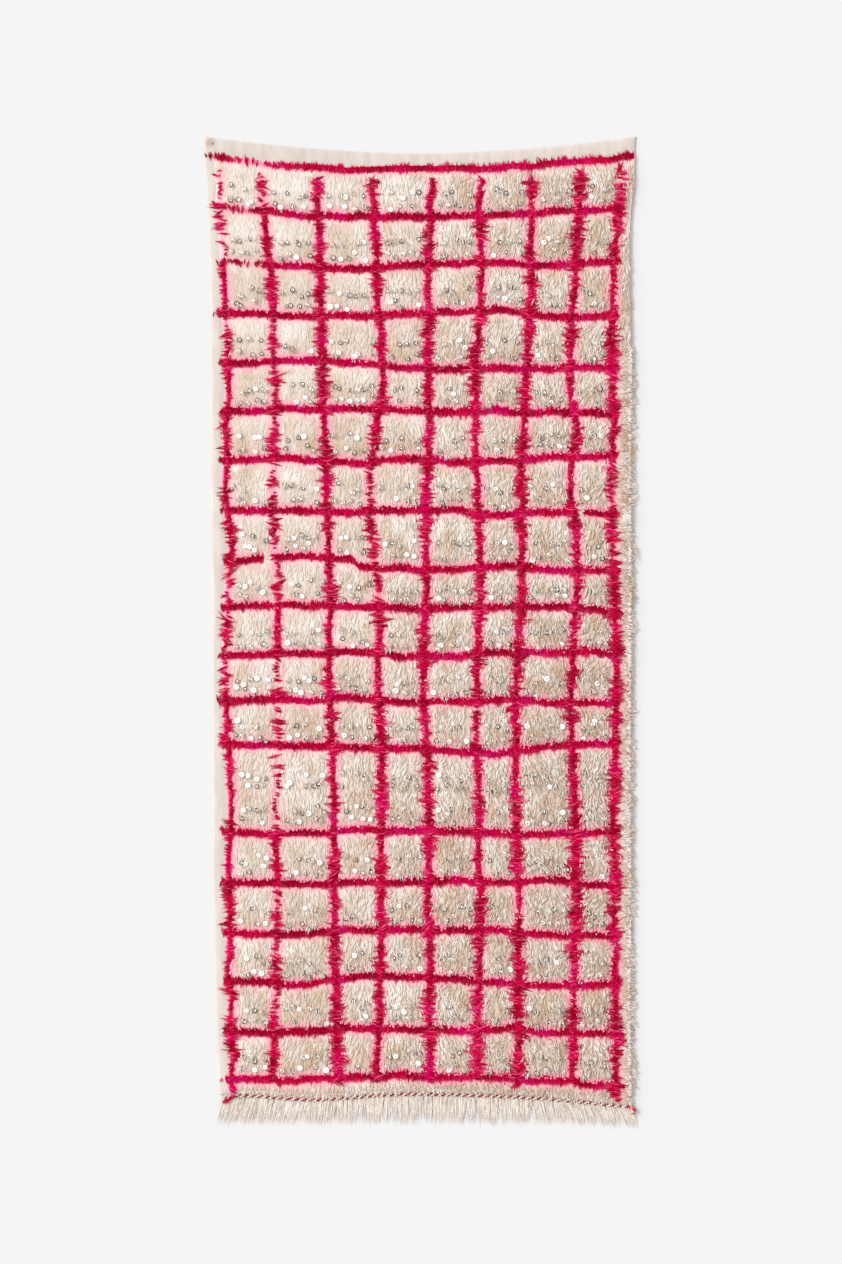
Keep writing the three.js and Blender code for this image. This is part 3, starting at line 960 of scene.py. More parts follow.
def sequin_finish(colours):
    """Silver discs with painted light: a painted glint or a painted reflection of the cream wool in the
    middle, and painted shade at the rim and round the hole.
    """
    material, tree, shader = new_finish("sequin_metal", roughness=0.32, specular=0.5)
    tone, rim_shade, along = yarn_numbers(tree)
    # Painted light on the face: a painted glint on the bright sequins, a painted reflection of the cream wool
    # on the others.
    face = colour_mix(tree, tone, colours.sequin_wool_reflection, colours.sequin_glint)
    # Painted shade at the rim and round the hole (worn holds this painted shade), as strong as each sequin's
    # rim shade.
    rim = remap(tree, along, 0.56, 0.68)
    hole = remap(tree, along, 0.30, 0.16)
    worn = arithmetic(tree, "MULTIPLY", arithmetic(tree, "ADD", rim, hole, clamp=True), rim_shade)
    metal = colour_mix(tree, worn, face, colours.sequin_rim)
    tree.links.new(metal, shader.inputs["Base Color"])
    # Where the painted rim shade or the painted glint lies, the metal is less metallic, so the painted colour
    # shows.
    unshaded_metal = remap(tree, worn, 0.0, 1.0, 0.85, 0.2)
    glossy = arithmetic(tree, "MULTIPLY", unshaded_metal, remap(tree, tone, 0.5, 0.9, 1.0, 0.25))
    tree.links.new(glossy, shader.inputs["Metallic"])
    return material


# Pieces

def make_ground_cloth(sizes, colours):
    """The woven ground: a thin sheet that shows at the heading and the left selvedge."""
    edge = 0.004
    across = np.concatenate([[0.0], np.linspace(edge, 1 - edge, sizes.cloth_columns), [1.0]])
    down = np.concatenate([[0.0], np.linspace(edge / 2, 1 - edge / 2, sizes.cloth_rows), [1.0]])
    x, y = settled_grid(across, down, left_x, right_x, heading_y, hem_y)
    x = x + 0.0024 * (cloud("selvedge", x, y) - 0.5) * (np.abs(x) > 0.4)
    top_z = cloth_z(x, y)
    top_z[0] = top_z[-1] = CLOTH_TOP / 2
    top_z[:, 0] = top_z[:, -1] = CLOTH_TOP / 2
    points, faces = grid_slab(x, y, top_z, 0.0)
    piece = new_object("ground_cloth", points, faces, ground_cloth_finish(colours))
    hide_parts("blanket")
    return piece


def make_fleece_bed(sizes, colours):
    """The matted foot of the pile, pillowed in each cell of the grid."""
    lines_across = [lambda y, line=line: long_x(line, y) for line in range(len(LONG_LINES))]
    lines_down = [lambda x, line=line: cross_y(line, x) for line in range(len(CROSS_LINES))]
    across = [lambda y: long_x(0, y) - 0.009, *lines_across, lambda y: right_x(y) - 0.0015]
    down = [lambda x: cross_y(0, x) + 0.007, *lines_down, lambda x: hem_y(x) + 0.001]
    close = np.array([0.0, 0.004, 0.009, 0.014])
    x_gaps = np.diff([float(curve(0.0)) for curve in across])
    y_gaps = -np.diff([float(curve(0.0)) for curve in down])
    x, y = lined_grid(
        across,
        down,
        marks_between(across, x_gaps, close, sizes.bed_step),
        marks_between(down, y_gaps, close, sizes.bed_step),
    )
    points, faces = grid_slab(x, y, np.maximum(bed_z(x, y), CLOTH_TOP + 0.0002), CLOTH_TOP - 0.0006)
    piece = new_object("fleece_bed", points, faces, fleece_bed_finish(colours))
    x, y, _ = points.T
    # Painted shade: the matted fleece darkens towards the shaggy right side, as shade between the deeper
    # strands.
    tone = 0.40 + 0.4 * cloud("bed tone", x, y) - 0.25 * shagginess(x, y)
    blush = np.maximum(cross_near(x, y, 0.0030, 0.0205), 0.92 * long_near(x, y, 0.0030, 0.0190))
    set_yarn(piece, tone, blush ** 1.3, np.ones(len(points)))
    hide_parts("blanket")
    return piece


def loose_tuft(chance, place):
    """The spines of a tuft that has come loose at one place."""
    x, y, direction, length, count = place
    angle = math.radians(direction) + chance.normal(0, 0.30, count)
    reach = length * chance.uniform(0.6, 1.1, count)
    start = np.array([x, y]) + chance.normal(0, 0.0016, (count, 2))
    end = reached(start, angle, reach)
    return lying_spines(start, end, lift=0.0045, tip_lift=0.0025, bulge=chance.normal(0.1, 0.15, count))


def rim_hairs(sizes, chance):
    """The spines of the hairs that hang over the right edge, in uneven tufts."""
    count = int((RIM_FROM_Y - RIM_TO_Y) / sizes.rim_spacing)
    y = np.linspace(RIM_FROM_Y, RIM_TO_Y, count) + chance.normal(0, 0.003, count)
    x = right_x(y) - chance.uniform(0.001, 0.014, count)
    angle = math.radians(-18) + math.radians(60) * (cloud("rim angle", x, y) - 0.5)
    angle = angle + chance.normal(0, 0.25, count)
    beyond = RIM_HAIRS * (0.20 + 1.0 * cloud("rim hair", y)) * chance.random(count) ** 0.6
    length = (right_x(y) - x + beyond) / np.maximum(np.cos(angle), 0.5)
    root, tip = tuft_strands(chance, x, y, angle, length, 2 * sizes.strands_per_tuft + 1, 0.0065, 0.0045)
    count = len(root)
    lift = chance.uniform(0.0020, 0.0050, count)
    return lying_spines(root, tip, lift, chance.uniform(0.0005, 0.0030, count), chance.normal(0, 0.10, count))


def make_ivory_pile(sizes, colours, seed):
    """Tufts of ivory fleece: long and combed down at the left and top, wilder and clumped at the right."""
    chance = np.random.default_rng(seed)
    step = sizes.tuft_spacing
    columns, rows = (np.arange(start, end, step) for start, end in zip(PILE_FROM, PILE_TO))
    x, y = (grid.ravel() for grid in np.meshgrid(columns, rows))
    x = x + step * 0.8 * (chance.random(len(x)) - 0.5)
    y = y + step * 0.8 * (chance.random(len(y)) - 0.5)
    rose = np.maximum(cross_near(x, y, 0.0055, 0.0078), long_near(x, y, 0.0080, 0.0110))
    kept = (
        (chance.random(len(x)) > rose ** 0.3)
        & (x > long_x(0, y) - 0.004)
        & (x < right_x(y) - 0.005)
        & (y < cross_y(0, x) - 0.004)
        & (y > hem_y(x) + 0.003)
    )
    x = x[kept]
    y = y[kept]
    wild = shagginess(x, y)
    swirl = (cloud("swirl", x, y) - 0.5) * math.radians(60)
    swirl = swirl + (cloud("curl", x, y) - 0.5) * math.radians(75)
    angle = -math.pi / 2 + swirl * (0.25 + 1.0 * wild)
    angle = angle + chance.normal(0, 1, len(x)) * np.radians(3 + 15 * wild)
    last_line = long_x(len(LONG_LINES) - 1, y)
    rim = eased((x - last_line - 0.002) / 0.008) * eased((RIM_FROM_Y + 0.05 - y) / 0.1)
    rim_angle = math.radians(-20) + chance.normal(0, math.radians(17), len(x))
    angle = angle * (1 - rim) + rim_angle * rim
    length = sizes.pile_length * chance.uniform(0.8, 1.15, len(x)) * (1 - 0.30 * wild)
    length = np.clip(length, 0.008, np.maximum(room_below(x, y) - 0.011 + 0.006 * wild, 0.008))
    hairs = RIM_HAIRS * (0.30 + 1.1 * cloud("rim tuft", x, y)) * chance.random(len(x)) ** 0.5
    room_right = right_x(y) + hairs - 0.001 - x
    at_rim = np.clip(room_right / np.maximum(np.cos(angle), 0.3), 0.006, sizes.pile_length)
    length = np.where(rim > 0.3, at_rim, length)
    x = x - 0.004 * rim
    at_hem = fade(y - hem_y(x), 0.006, 0.016)
    length = length + (y - hem_y(x) + chance.uniform(0.000, 0.006, len(x)) - length) * at_hem
    wild = np.maximum(wild, rim)
    # Painted shade: the pile is darker in the band about 38 mm above the next cross line or the hem, where
    # the sequins lie.
    sequin_row_shade = fade(np.abs(room_below(x, y) - 0.038), 0.016, 0.032)
    # Painted light lifts the tone of the right rim, whose slope faces away from the lamps; the shaggy right
    # side is a little darker as painted shade.
    tuft_tone = 0.55 - 0.02 * wild - (0.08 + 0.12 * wild) * sequin_row_shade + 0.12 * rim
    tuft_tone = tuft_tone + (0.2 + 0.4 * wild) * (cloud("tuft tone", x, y) - 0.5)
    tuft_tone = tuft_tone + 0.4 * (cloud("field tone", x, y) - 0.5)
    tuft_tone = tuft_tone + chance.normal(0, 1, len(x)) * (0.03 + 0.18 * wild)

    each = sizes.strands_per_tuft
    root, tip = tuft_strands(chance, x, y, angle, length, each, 0.0075, 0.0060 - 0.0042 * wild)
    wild, rim, tone = (np.repeat(v, each) for v in (wild, rim, tuft_tone))
    count = len(root)
    lift = 0.0004 + 0.0005 * chance.random(count) + 0.0031 * wild * chance.random(count)
    tip_lift = 0.0001 + 0.0030 * wild * (1 - 0.5 * rim) * chance.random(count)
    spines = lying_spines(root, tip, lift, tip_lift, bulge=chance.normal(0, 0.05, count) * (0.4 + wild))
    blush = blush_along(spines, 0.012, 0.026, chance.uniform(0.5, 1.0, count))
    tone = np.clip(tone + chance.normal(0, 0.12, count) * (0.20 + 1.05 * wild), 0, 1)
    widths = (sizes.strand_width * chance.uniform(0.6, 1.25, count) * (1.3 - 0.4 * wild))[:, None]
    # Painted root shade is strong in the shaggy pile and none where the pile is smoothest.
    unshaded_root = 1 - 0.9 * wild
    plumpness = 0.045 + 0.335 * wild
    material = ivory_fleece_finish(colours)
    height = root[:, 1]
    parts = [(f"ivory_pile_{name}", (height <= top) & (height > bottom)) for name, top, bottom in PILE_BANDS]
    pieces = strand_pieces(parts, material, spines, widths, tone, blush, plumpness, unshaded_root)
    spines = rim_hairs(sizes, chance)
    tone = chance.uniform(0.35, 1.0, len(spines))
    width = sizes.strand_width * 0.6
    pieces.append(plain_strands(
        "ivory_rim_hairs", spines, width, tone, material, unshaded_root=0.8, plumpness=0.15
    ))
    spines = loose_tuft(chance, LOOSE_IVORY)
    tone = chance.uniform(0.7, 1.0, len(spines))
    width = sizes.strand_width
    pieces.append(plain_strands("ivory_loose_tuft", spines, width, tone, material, unshaded_root=0.9))
    return pieces


def make_cross_lines(sizes, colours, seed):
    """The rose lines that run across: short, dense pile combed up and down, toothed at both edges."""
    chance = np.random.default_rng(seed)
    parts = []
    for line in range(len(CROSS_LINES)):
        count = int(2 * CROSS_REACH * sizes.cross_tufts_per_metre)
        x = chance.uniform(-CROSS_REACH, CROSS_REACH, count)
        share = cross_share(line, x + chance.normal(0, 0.003, count))
        x = x[chance.random(count) < share]
        count = len(x)
        strip = line * STRIP
        fat = 0.72 + 0.50 * cloud("cross fullness", x, strip)
        fat = fat * (0.92 + 0.30 * shagginess(x, cross_y(line, x)))
        thin = 0.6 + 0.4 * cross_share(line, x)
        down = chance.random(count) < 0.72
        swirl = math.radians(50) * (cloud("cross swirl", x, strip) - 0.5)
        angle = np.where(down, -math.pi / 2, math.pi / 2) + swirl + chance.normal(0, math.radians(16), count)
        length = sizes.cross_length * chance.uniform(0.72, 1.15, count) * fat * thin
        tone = 0.36 + 1.3 * (cloud("cross tone", x, strip) - 0.5) + chance.normal(0, 0.06, count)
        y = cross_y(line, x) + chance.normal(0, 0.0026, count)
        parts.append(np.stack([x, y, angle, length, tone], 1))
    x, y, angle, length, tone = np.concatenate(parts).T
    each = sizes.strands_per_tooth
    faded = np.repeat(np.sin(angle) < 0, each)
    root, tip = tuft_strands(chance, x, y, angle, length, each, 0.0060, 0.0030, behind=0.5)
    tone = np.repeat(tone, each)
    count = len(root)
    lift = chance.uniform(0.0018, 0.0036, count)
    spines = lying_spines(root, tip, lift, tip_lift=chance.uniform(0.0005, 0.0025, count))
    tone = np.clip(tone + chance.normal(0, 0.07, count), 0, 1)
    blush = np.zeros((count, 3))
    blush[:, -1] = chance.uniform(0.1, 0.9, count) * faded
    widths = (sizes.rose_width * chance.uniform(0.65, 1.1, count))[:, None]
    material = rose_pile_finish(colours, "rose_cross_pile", (1.0, 0.2, 1.0))
    upper = root[:, 1] > CROSS_PARTED_AT
    parts = (("rose_cross_lines_upper", upper), ("rose_cross_lines_lower", ~upper))
    return strand_pieces(
        parts, material, spines, widths, tone, blush, plumpness=0.09, unshaded_root=0.85
    )


def make_long_lines(sizes, colours, seed):
    """The rose lines that run along: tufts that lie across the line and reach out unevenly on both sides."""
    chance = np.random.default_rng(seed)
    parts = []
    for line in range(len(LONG_LINES)):
        count = int(LONG_YARN / sizes.dash_spacing)
        y = np.linspace(LONG_FROM_Y, LONG_TO_Y, count) + chance.normal(0, 0.0022, count)
        share = long_share(line, y)
        clump = np.clip(0.50 + 1.15 * cloud("long clump", y, line * CLUMP_STRIP), 0, 1)
        y = y[chance.random(count) < share * clump]
        count = len(y)
        full = long_share(line, y)
        strip = line * STRIP
        fat = 0.55 + 1.05 * eased(1.4 * cloud("long fullness", y, strip) - 0.2)
        fat = fat * (0.7 + 0.3 * full)
        fat = fat * (0.90 + 0.34 * shagginess(long_x(line, y), y))
        droop = math.radians(64) * (cloud("long droop", y, strip) - 0.42)
        tone = 0.34 + 1.2 * (cloud("long tone", y, strip) - 0.5) + chance.normal(0, 0.13, count)
        rightward = chance.random(count) < 0.5
        dip = -(droop + chance.normal(0, math.radians(13), count))
        angle = np.where(rightward, dip, math.pi - dip)
        x = long_x(line, y) + 0.010 * (cloud("long wander", y, strip) - 0.5)
        x = x + chance.normal(0, 0.0024, count)
        top = cross_y(0, x) - LONG_TOP_GAP
        flared = fade(top - y, 0.004, 0.018)
        spread = chance.uniform(math.radians(20), math.radians(160), count)
        angle = np.where(chance.random(count) < flared * 0.7, spread, angle)
        length = sizes.long_length * chance.uniform(0.68, 1.2, count) * fat
        length = np.where(chance.random(count) < 0.10, length * 1.4, length) * (0.86 if line == 0 else 1.0)
        parts.append(np.stack([x, y, angle, length, tone], 1))
    x, y, angle, length, tone = np.concatenate(parts).T
    each = sizes.strands_per_dash
    root, tip = tuft_strands(chance, x, y, angle, length, each, 0.0050, 0.0022, behind=0.5)
    tone = np.repeat(tone, each)
    count = len(root)
    lift = chance.uniform(0.0024, 0.0046, count)
    tip_lift = chance.uniform(0.0012, 0.0036, count)
    spines = lying_spines(root, tip, lift, tip_lift, bulge=chance.normal(0, 0.05, count))
    tone = np.clip(tone + chance.normal(0, 0.08, count), 0, 1)
    blush = np.where(chance.random(count) < 0.10, 0.75, 0.0)[:, None] * np.ones(3)
    blush[:, -1] = chance.uniform(0.1, 0.8, count)
    widths = (sizes.rose_width * chance.uniform(0.65, 1.15, count))[:, None]
    material = rose_pile_finish(colours, "rose_long_pile", (0.2, 1.0, 1.0))
    left = root[:, 0] < LONG_PARTED_AT
    parts = (("rose_long_lines_left", left), ("rose_long_lines_right", ~left))
    pieces = strand_pieces(
        parts, material, spines, widths, tone, blush, plumpness=0.22, unshaded_root=0.8
    )
    spines = loose_tuft(chance, LOOSE_ROSE)
    tone = np.full(len(spines), 0.2)
    width = sizes.rose_width / 2
    pieces.append(plain_strands("rose_loose_strands", spines, width, tone, material, unshaded_root=0.8))
    return pieces


def sequin_places(sizes, chance):
    """Where the sequins are sewn: two short rows in the lower half of each cell, two pairs in a tall one."""
    places = []
    for row in range(len(CROSS_LINES) - 1):
        shares = TALL_CELL_ROWS if row == TALL_ROW else CELL_ROWS
        for column in range(len(LONG_LINES) - 1):
            for share in shares:
                middle = (LONG_LINES[column].mean() + LONG_LINES[column + 1].mean()) / 2
                y = cross_y(row, middle) + (cross_y(row + 1, middle) - cross_y(row, middle)) * share
                left = long_x(column, y) + SEQUIN_MARGIN
                right = long_x(column + 1, y) - SEQUIN_MARGIN
                number = int((right - left) / sizes.sequin_spacing) + 1
                for k in range(number):
                    if chance.random() < sizes.sequins_lost:
                        continue
                    x = left + (right - left) * (k + 0.5) / number + chance.normal(0, 0.0040)
                    places.append((x, float(y) + chance.normal(0, 0.0050)))
    return np.array(places)


def make_sequins(sizes, colours, seed):
    """Thin dished discs with a hole, each tilted its own way, with a few strands lying over them."""
    chance = np.random.default_rng(seed)
    places = sequin_places(sizes, chance)
    count = len(places)
    sides = 12
    radius = sizes.sequin_diameter / 2
    # Painted glint: these sequins get a white, less metallic face, and are a little larger.
    glint = chance.random(count) < 0.10 + 0.18 * fade(places[:, 0], -0.35, 0.1)
    scale = chance.uniform(0.70, 0.92, count) + 0.12 * glint
    hole = 0.0010
    thick = 0.0004
    dish = 0.0013
    turn = 2 * np.pi * np.arange(sides) / sides
    circle = np.stack([np.cos(turn), np.sin(turn)], 1)
    rings = ((hole, -dish), (radius, 0.0), (radius, -thick), (hole, -dish - thick))
    one = np.concatenate([np.column_stack([circle * r, np.full(sides, z)]) for r, z in rings])
    faces = []
    corners = []
    for ring, (centre_u, first, second) in enumerate(SEQUIN_MAP):
        after = (ring + 1) % 4
        for k in range(sides):
            n = (k + 1) % sides
            faces.append((ring * sides + k, after * sides + k, after * sides + n, ring * sides + n))
            spots = ((first, k), (second, k), (second, n), (first, n))
            corners.append([(centre_u + r * circle[j][0], 0.5 + r * circle[j][1] * 2) for r, j in spots])
    faces = np.array(faces)
    corners = np.array(corners)

    tilt = np.abs(chance.normal(0, math.radians(13), count))
    towards = chance.uniform(0, 2 * math.pi, count)
    lean = np.stack([np.cos(towards), np.sin(towards), np.zeros(count)], 1)
    cosine = np.cos(tilt)[:, None, None]
    sine = np.sin(tilt)[:, None, None]
    base = one[None] * scale[:, None, None]
    dot = (base * lean[:, None]).sum(-1, keepdims=True)
    crossed = np.cross(lean[:, None], base)
    turned = base * cosine + crossed * sine + lean[:, None] * dot * (1 - cosine)
    seat = bed_z(places[:, 0], places[:, 1]) + 0.0030 + chance.uniform(0, 0.0018, count)
    seat = seat + 0.25 * radius * np.sin(tilt)
    turned[..., 0] += places[:, 0, None]
    turned[..., 1] += places[:, 1, None]
    turned[..., 2] += seat[:, None]
    every_face = (faces[None] + len(one) * np.arange(count)[:, None, None]).reshape(-1, 4)
    piece = new_object("sequins", turned.reshape(-1, 3), every_face, sequin_finish(colours))
    # Painted light on each sequin: a painted glint or a painted reflection of the wool on its face, and
    # painted rim shade, strong on the ringed ones.
    tone = np.where(glint, chance.uniform(0.9, 1.0, count), chance.uniform(0.0, 0.45, count))
    ringed = chance.random(count) < 0.6
    rim_shade = np.where(ringed, chance.uniform(0.85, 1.0, count), chance.uniform(0.1, 0.5, count))
    rim_shade = np.where(glint, chance.uniform(0.0, 0.2, count), rim_shade)
    out = np.concatenate([np.full(sides, r / radius) for r, _ in rings])
    set_yarn(piece, np.repeat(tone, len(one)), np.repeat(rim_shade, len(one)), np.tile(out, count))
    give_each_a_place(piece, corners, count)

    cover = chance.integers(0, 2 * sizes.strands_over_sequin + 1, count)
    cover = cover + (3 * shagginess(places[:, 0], places[:, 1])).astype(int)
    hidden = np.repeat(np.arange(count)[~glint], cover[~glint])
    over = len(hidden)
    start = places[hidden] + np.stack([chance.normal(0, 0.0045, over), chance.uniform(0.005, 0.014, over)], 1)
    angle = -math.pi / 2 + chance.normal(0, math.radians(22), over)
    reach = chance.uniform(0.012, 0.024, over)
    spines = lying_spines(start, reached(start, angle, reach), lift=0.0070, tip_lift=0.0050)
    tone = np.clip(chance.normal(0.6, 0.25, over), 0, 1)
    width = sizes.strand_width * chance.uniform(0.5, 0.9, over)
    material = ivory_fleece_finish(colours)
    name = "ivory_strands_over_sequins"
    strands = plain_strands(name, spines, width, tone, material, unshaded_root=0.8)
    return piece, strands


def make_warp_fringe(sizes, colours, seed):
    """The warp ends: fine strands that lie on the floor in small bunches and flare at both corners."""
    chance = np.random.default_rng(seed)
    bunches = sizes.fringe_bunches
    width = HEM[-1, 0] - HEM[0, 0]
    share = (np.arange(bunches) + chance.uniform(0.1, 0.9, bunches)) / bunches
    bunch_x = HEM[0, 0] + 0.004 + (width - 0.008) * share
    gather = chance.uniform(0.0, 0.7, bunches)
    sway = 0.005 * np.sin(bunch_x / 0.068 * 2 * math.pi) + chance.normal(0, 0.0034, bunches)
    bunch_lean = sway - 0.022 * fade(share, 0.06, 0.36) + 0.024 * fade(1 - share, 0.10, 0.36)
    bunch_length = chance.normal(0, 0.0030, bunches)
    each = sizes.strands_per_bunch
    share, centre, gather, lean, longer = (
        np.repeat(v, each) for v in (share, bunch_x, gather, bunch_lean, bunch_length)
    )
    count = len(share)
    offset = chance.uniform(-0.5, 0.5, count) * width / bunches * 2.0
    root_x = np.clip(centre + offset, HEM[0, 0] + 0.001, HEM[-1, 0] - 0.001)
    over = chance.random(count) < OVER_CORD_SHARE
    root_y = hem_y(root_x) + 0.007
    tip_x = centre + lean + offset * (1 - gather) + chance.normal(0, 0.0030, count)
    tip_x = np.clip(tip_x, FRINGE_LEFT, FRINGE_RIGHT)
    shorter = 0.022 * chance.random(count) ** 2
    tip_y = FRINGE_TIP_Y - FRINGE_FALL * share ** 6 + longer + chance.normal(0, 0.0030, count) + shorter
    steps = 5
    spines = np.zeros((count, steps, 3))
    wave = chance.uniform(0, 2 * math.pi, count)
    for step, part in enumerate(np.linspace(0, 1, steps)):
        swing = 0.0008 * np.sin(wave + part * 7)
        spines[:, step, 0] = root_x + (tip_x - root_x) * part ** 1.3 + swing
        spines[:, step, 1] = root_y + (tip_y - root_y) * part
        rise = 0.0050 * (1 - part) ** 1.5 + 0.0006 + 0.0016 * chance.random(count) * (step < steps - 1)
        spines[:, step, 2] = np.where(over & (step < 2), OVER_CORD_Z, rise)
    taper = np.array([1.1, 0.9, 0.5])
    widths = sizes.fringe_width * chance.uniform(0.7, 1.25, count)[:, None] * taper[None]
    # Painted shade: some ends are dark to stand for the shade between the ends.
    dark = chance.random(count) < SHADED_END_SHARE
    tone = np.where(dark, chance.uniform(0.0, 0.4, count), chance.uniform(0.75, 1.0, count))
    blush = np.zeros((count, steps))
    piece = strand_piece("warp_fringe", spines, widths, tone, blush, warp_yarn_finish(colours))
    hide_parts("fringe")
    return piece


def cord_path(sizes):
    """The edge cord's middle line: a short tail, the hem from corner to corner, and a curled tail."""
    hem_x = np.linspace(CORD_HEM_FROM, CORD_HEM_TO, 49)
    hem = np.column_stack([hem_x, hem_y(hem_x) - CORD_HEM_INSET])
    marks = np.concatenate([CORD_LEFT_TAIL, hem, CORD_RIGHT_TAIL])
    travelled = np.concatenate([[0], np.cumsum(np.linalg.norm(np.diff(marks, axis=0), axis=1))])
    steps = int(travelled[-1] / sizes.cord_step)
    at = np.linspace(0, travelled[-1], steps)
    path = np.column_stack([
        curve_through(travelled, marks[:, 0], at),
        curve_through(travelled, marks[:, 1], at),
        np.full(steps, CORD_Z),
    ])
    return path, at


def make_edge_cord(sizes, colours, seed):
    """The twined cord: two plies that turn round each other, one dark rose and one pale."""
    path, travelled = cord_path(sizes)
    side = np.cross(unit(np.gradient(path, axis=0)), (0, 0, 1))
    up = np.array([0.0, 0.0, 1.0])
    ply_radius = sizes.cord_ply / 2
    points = []
    faces = []
    tone = []
    blush = []
    for ply, tone_cloud in enumerate(("dark ply tone", "pale ply tone")):
        uneven = 1.6 * (cloud("cord turn", travelled) - 0.5)
        turn = 2 * np.pi * travelled / sizes.cord_pitch + uneven + ply * np.pi
        middle = path + ply_radius * 0.92 * (np.cos(turn)[:, None] * side + np.sin(turn)[:, None] * up)
        radius = ply_radius * (1.0 if ply else 0.76 + 0.36 * cloud("cord fullness", travelled))
        ply_points, ply_faces = tube(middle, radius, 7, ply_radius * 0.35)
        first = sum(len(p) for p in points)
        points.append(ply_points)
        faces.extend(tuple(first + k for k in face) for face in ply_faces)
        blush.append(np.full(len(ply_points), 1.0 - ply))
        tone.append(cloud(tone_cloud, ply_points[:, 0], ply_points[:, 1]))
    points = np.concatenate(points)
    piece = new_object("twined_edge_cord", points, faces, twined_cord_finish(colours))
    set_yarn(piece, np.concatenate(tone), np.concatenate(blush), np.ones(len(points)))
    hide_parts("edge_cord")
    return piece, make_cord_tails(sizes, colours, seed)


def make_cord_tails(sizes, colours, seed):
    """Frayed rose yarn round both tails of the cord, thick at the left and pinker at the right."""
    chance = np.random.default_rng(seed)
    each = [tail[2] for tail in FRAYED_TAILS]
    columns = [np.repeat(column, each, 0) for column in zip(*FRAYED_TAILS)]
    starts, ends, _, thickness, pinkness, rise = columns
    count = len(starts)
    blush = np.clip(pinkness[:, None] * chance.uniform(0, 2, (count, 3)), 0, 1)
    share = np.concatenate([np.linspace(0, 0.75, number) for number in each])[:, None]
    root = starts + (ends - starts) * share + chance.normal(0, 0.0020, (count, 2))
    reach = chance.uniform(0.25, 0.5, (count, 1))
    tip = root + (ends - starts) * reach + chance.normal(0, 0.0030, (count, 2))
    spines = lying_spines(root, tip, chance.uniform(0.003, 0.006, count), chance.uniform(0.001, 0.004, count))
    spines[..., 2] = spines[..., 2] + rise[:, None]
    return strand_piece(
        "frayed_cord_tails", spines, sizes.rose_width * thickness[:, None], chance.uniform(0, 0.4, count),
        blush, rose_pile_finish(colours, "rose_tail_pile", (0.6, 0.6, 1.0)),
    )


def make_lamp(name, strength, towards, look):
    """A soft lamp far away in that direction."""
    lamp = bpy.data.lights.new(name, "SUN")
    lamp.energy = strength
    lamp.angle = look.lamp_spread
    lamp.color = look.lamp_colour
    softbox = add_to_scene(name, lamp)
    softbox.rotation_euler = Vector(towards).to_track_quat("Z", "Y").to_euler()


def make_stage(look):
    """A plain pale floor, soft light from the upper left and the camera straight above."""
    mesh = bpy.data.meshes.new("floor")
    corners = [(-FLOOR_HALF, -FLOOR_HALF, 0), (FLOOR_HALF, -FLOOR_HALF, 0)]
    corners = corners + [(FLOOR_HALF, FLOOR_HALF, 0), (-FLOOR_HALF, FLOOR_HALF, 0)]
    mesh.from_pydata(corners, [], [(0, 1, 2, 3)])
    material, _, shader = new_finish("floor", roughness=1.0, specular=0.0)
    shader.inputs["Base Color"].default_value = look.floor
    mesh.materials.append(material)
    floor = add_to_scene("floor", mesh)
    floor.location.z = -FLOOR_DROP

    world = bpy.data.worlds.new("studio")
    world.use_nodes = True
    background = world.node_tree.nodes["Background"]
    background.inputs["Color"].default_value = look.sky
    background.inputs["Strength"].default_value = look.sky_strength
    bpy.context.scene.world = world

    make_lamp("softbox", look.lamp_strength, SOFTBOX_TOWARDS, look)
    make_lamp("low_softbox", look.low_lamp_strength, LOW_SOFTBOX_TOWARDS, look)

    lens = bpy.data.cameras.new("camera")
    lens.lens = look.focal_length * 1000
    lens.sensor_width = SENSOR * 1000
    lens.clip_end = 100.0
    camera = add_to_scene("camera", lens)
    camera.location = (CAMERA_X, 0.0, PICTURE_HEIGHT * look.focal_length / SENSOR)
    bpy.context.scene.camera = camera
    bpy.context.scene.view_settings.view_transform = "Standard"


# Settings that a user would change

def length(name, description, default, **limits):
    return bpy.props.FloatProperty(
        name=name, description=description, default=default, unit="LENGTH", precision=4, **limits
    )


def number(name, description, default, **limits):
    return bpy.props.FloatProperty(name=name, description=description, default=default, **limits)


def whole_number(name, description, default):
    return bpy.props.IntProperty(name=name, description=description, default=default)


def colour(name, description, default):
    return bpy.props.FloatVectorProperty(
        name=name, description=description, default=default, size=4, subtype="COLOR", min=0.0, max=1.0
    )


